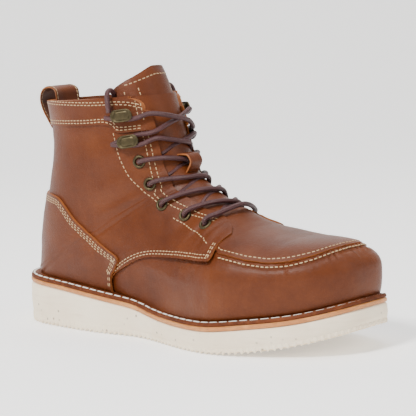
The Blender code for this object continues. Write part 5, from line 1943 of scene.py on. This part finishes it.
def make_finishes():
    """Every finish of the boot, in the colours of the panel."""
    look = bpy.context.scene.boot_look
    body = (tuple(look.leather_dark), tuple(look.leather_colour), tuple(look.leather_pale))
    leather("boot_leather", body, 0.86)
    leather("vamp_leather", body, 0.84)
    # The tongue's leather: the body colours darkened, as painted shade for the tongue that lies sunk under
    # the flaps. Its grain is coarser and it is a little rougher.
    painted_shade_colours = [tuple(c * k for c in colour) for colour, k in zip(body, (0.88, 0.85, 0.8))]
    leather("soft_leather_painted_shade", painted_shade_colours, 0.98, 1.2)
    for build in (
        raw_edge_finish,
        lining_finish,
        crepe_finish,
        midsole_finish,
        welt_finish,
        thread_finishes,
        brass_finish,
        lace_finish,
    ):
        build(look)


# Stage

CAMERA_TURN, CAMERA_RISE, CAMERA_ROLL = math.radians(40.679), math.radians(7.483), math.radians(2.265)
CAMERA_AWAY, CAMERA_LENS = 1.3001, 1779.5 * 36 / 416
CAMERA_AIM = (0.0, 0.0, 0.095)
AIM_RIGHT, AIM_UP = 0.013167, -0.003332


def build_camera():
    """The camera at the photograph's angle, rolled as it is there."""
    data = bpy.data.cameras.new("photo_camera")
    data.sensor_width = 36.0
    data.lens = CAMERA_LENS
    data.clip_start, data.clip_end = 0.05, 30.0
    data.dof.use_dof = False
    camera = bpy.data.objects.new("photo_camera", data)
    bpy.context.scene.collection.objects.link(camera)
    a, e, r = CAMERA_TURN, CAMERA_RISE, CAMERA_ROLL
    away = Vector((math.sin(a) * math.cos(e), -math.cos(a) * math.cos(e), math.sin(e)))
    right = Vector((math.cos(a), math.sin(a), 0.0))
    up = away.cross(right)
    place = Vector(CAMERA_AIM) + away * CAMERA_AWAY + right * AIM_RIGHT + up * AIM_UP
    turned_right = right * math.cos(r) - up * math.sin(r)
    turned_up = right * math.sin(r) + up * math.cos(r)
    turn = Matrix((turned_right, turned_up, away)).transposed().to_4x4()
    camera.matrix_world = Matrix.Translation(place) @ turn
    bpy.context.scene.camera = camera


def area_light(name, place, aim, size, power, colour=(1, 1, 1)):
    data = bpy.data.lights.new(name, "AREA")
    data.shape = "RECTANGLE"
    data.size, data.size_y = size
    data.energy = power
    data.color = colour
    lamp = bpy.data.objects.new(name, data)
    bpy.context.scene.collection.objects.link(lamp)
    lamp.location = place
    lamp.rotation_euler = (Vector(aim) - Vector(place)).to_track_quat("-Z", "Y").to_euler()
    return lamp


def build_stage():
    """A pale floor that sweeps up behind, soft lights and a bright room."""
    made = Finish("studio_paper")
    made.feed("Base Color", (0.95, 0.945, 0.94, 1.0))
    made.feed("Roughness", 0.9)
    made.feed("Specular IOR Level", 0.1)
    made.feed("Emission Color", (1.0, 0.995, 0.985, 1.0))
    made.feed("Emission Strength", 0.40)
    a = CAMERA_TURN
    toward = Vector((math.sin(a), -math.cos(a), 0.0))
    across = Vector((math.cos(a), math.sin(a), 0.0))
    profile = [(2.4, 0.0), (0.0, 0.0), (-1.2, 0.0)]
    for turn in np.linspace(0.1, math.pi / 2, 14):
        profile.append((-1.2 - 1.2 * math.sin(turn), 1.2 - 1.2 * math.cos(turn)))
    profile += [(-2.4, 4.0)]
    points = []
    for run, rise in profile:
        for wide in (-4.0, 4.0):
            points.append(toward * run + across * wide + Vector((0, 0, rise)))
    faces = [(2 * i, 2 * i + 1, 2 * i + 3, 2 * i + 2) for i in range(len(profile) - 1)]
    floor = add_mesh("studio_floor", points, faces, ["studio_paper"], smooth=60, welded=0)
    if floor.data.polygons[0].normal.z < 0:
        floor.data.flip_normals()
    key = across * -1.1 + toward * 1.3 + Vector((0, 0, 1.9))
    area_light("key_light", key, (0, 0, 0.06), (0.6, 0.6), 88, (1.0, 0.985, 0.96))
    fill = across * 1.6 + toward * 0.9 + Vector((0, 0, 1.1))
    area_light("fill_light", fill, (0.05, 0, 0.05), (1.0, 1.0), 12, (1.0, 0.99, 0.98))
    area_light("top_light", Vector((0.0, 0.1, 2.1)), (0, 0, 0.1), (1.4, 1.4), 26)
    world = bpy.data.worlds.new("studio_room")
    world.use_nodes = True
    world.node_tree.nodes["Background"].inputs["Color"].default_value = (1.0, 0.995, 0.985, 1.0)
    world.node_tree.nodes["Background"].inputs["Strength"].default_value = 0.50
    bpy.context.scene.world = world


# Add-on


def colour_property(name, description, default):
    return bpy.props.FloatVectorProperty(
        name=name, description=description, subtype="COLOR", size=3, min=0, max=1, default=default
    )


def size_property(name, description, default):
    limits = {"min": 0.0001, "precision": 5}
    return bpy.props.FloatProperty(
        name=name, description=description, subtype="DISTANCE", unit="LENGTH", default=default, **limits
    )


class BootLook(bpy.types.PropertyGroup):
    """Colours of the boot's finishes, and the size of its stitches."""

    stitch_pitch: size_property("Stitch pitch", "From one stitch to the next", 0.0034)
    stitch_length: size_property("Stitch length", "Length of one stitch", 0.0021)
    stitch_thick: size_property("Thread", "Half the thread's thickness", 0.00046)
    leather_dark: colour_property("Leather, folds", "The leather in its folds", (0.052, 0.0105, 0.0024))
    leather_colour: colour_property("Leather", "The oiled leather's main colour", (0.135, 0.032, 0.0062))
    leather_pale: colour_property("Leather, pulled", "The leather where it is rubbed", (0.24, 0.068, 0.016))
    edge_colour: colour_property("Raw edge", "Cut edges of the leather", (0.36, 0.105, 0.018))
    sole_colour: colour_property("Wedge", "The crepe wedge", (0.95, 0.84, 0.66))
    thread_colour: colour_property("Thread colour", "Thread of the leather's seams", (0.50, 0.34, 0.18))
    welt_thread_colour: colour_property("Welt thread", "Thread round the welt", (0.88, 0.84, 0.76))
    brass_colour: colour_property("Brass", "The hardware's bare metal", (0.085, 0.066, 0.034))
    lace_colour: colour_property("Laces", "The waxed laces", (0.060, 0.018, 0.019))


class BootPiece:
    """What the operators have in common."""

    bl_options = {"REGISTER", "UNDO"}


class BOOT_OT_finishes(BootPiece, bpy.types.Operator):
    """Make the leather, thread, brass, lace and crepe materials"""

    bl_idname = "boot.finishes"
    bl_label = "Finishes"

    def execute(self, context):
        make_finishes()
        return {"FINISHED"}


class BOOT_OT_stage(BootPiece, bpy.types.Operator):
    """Add the camera, the pale floor and the soft lights"""

    bl_idname = "boot.stage"
    bl_label = "Stage"

    def execute(self, context):
        build_camera()
        build_stage()
        return {"FINISHED"}


class BOOT_OT_upper(BootPiece, bpy.types.Operator):
    """Make the vamp, quarters, heel counter and collar band"""

    bl_idname = "boot.upper"
    bl_label = "Upper"

    def execute(self, context):
        build_upper()
        return {"FINISHED"}


class BOOT_OT_plug(BootPiece, bpy.types.Operator):
    """Make the moc toe's plug"""

    bl_idname = "boot.plug"
    bl_label = "Moc plug"

    def execute(self, context):
        build_plug()
        return {"FINISHED"}


class BOOT_OT_stitches(BootPiece, bpy.types.Operator):
    """Sew every row of thread on the upper"""

    bl_idname = "boot.stitches"
    bl_label = "Stitches"

    def execute(self, context):
        build_stitches()
        return {"FINISHED"}


class BOOT_OT_sole(BootPiece, bpy.types.Operator):
    """Make the wedge, its tread, the midsole, the welt and the insole"""

    bl_idname = "boot.sole"
    bl_label = "Sole"

    def execute(self, context):
        build_outsole()
        build_welt()
        build_insole()
        return {"FINISHED"}


class BOOT_OT_tongue(BootPiece, bpy.types.Operator):
    """Make the tongue, its overlay and the lace keeper"""

    bl_idname = "boot.tongue"
    bl_label = "Tongue"

    def execute(self, context):
        build_tongue()
        return {"FINISHED"}


class BOOT_OT_loop(BootPiece, bpy.types.Operator):
    """Make the pull loop at the back"""

    bl_idname = "boot.loop"
    bl_label = "Pull loop"

    def execute(self, context):
        build_loop()
        return {"FINISHED"}


class BOOT_OT_hardware(BootPiece, bpy.types.Operator):
    """Make the brass eyelets and lace hooks"""

    bl_idname = "boot.hardware"
    bl_label = "Eyelets and hooks"

    def execute(self, context):
        build_hardware()
        return {"FINISHED"}


class BOOT_OT_laces(BootPiece, bpy.types.Operator):
    """Lace the boot up"""

    bl_idname = "boot.laces"
    bl_label = "Laces"

    def execute(self, context):
        build_laces()
        return {"FINISHED"}


OPERATORS = (
    BOOT_OT_finishes,
    BOOT_OT_stage,
    BOOT_OT_upper,
    BOOT_OT_plug,
    BOOT_OT_stitches,
    BOOT_OT_sole,
    BOOT_OT_tongue,
    BOOT_OT_loop,
    BOOT_OT_hardware,
    BOOT_OT_laces,
)


class BOOT_PT_panel(bpy.types.Panel):
    """Lists the boot's pieces and colours"""

    bl_label = "Boot"
    bl_idname = "BOOT_PT_panel"
    bl_space_type = "VIEW_3D"
    bl_region_type = "UI"
    bl_category = "Boot"

    def draw(self, context):
        column = self.layout.column()
        for operator in OPERATORS:
            column.operator(operator.bl_idname)
        for name in BootLook.__annotations__:
            column.prop(context.scene.boot_look, name)


def register():
    for item in (BootLook, *OPERATORS, BOOT_PT_panel):
        bpy.utils.register_class(item)
    bpy.types.Scene.boot_look = bpy.props.PointerProperty(type=BootLook)


def unregister():
    del bpy.types.Scene.boot_look
    for item in (BOOT_PT_panel, *reversed(OPERATORS), BootLook):
        bpy.utils.unregister_class(item)


# The stitches are laid on the upper's pieces, so they come after it.
BUILD_ORDER = (
    "finishes",
    "stage",
    "laces",
    "upper",
    "plug",
    "stitches",
    "sole",
    "tongue",
    "loop",
    "hardware",
)


def main():
    """Build every piece."""
    register()
    for name in BUILD_ORDER:
        getattr(bpy.ops.boot, name)()


if __name__ == "__main__":
    main()
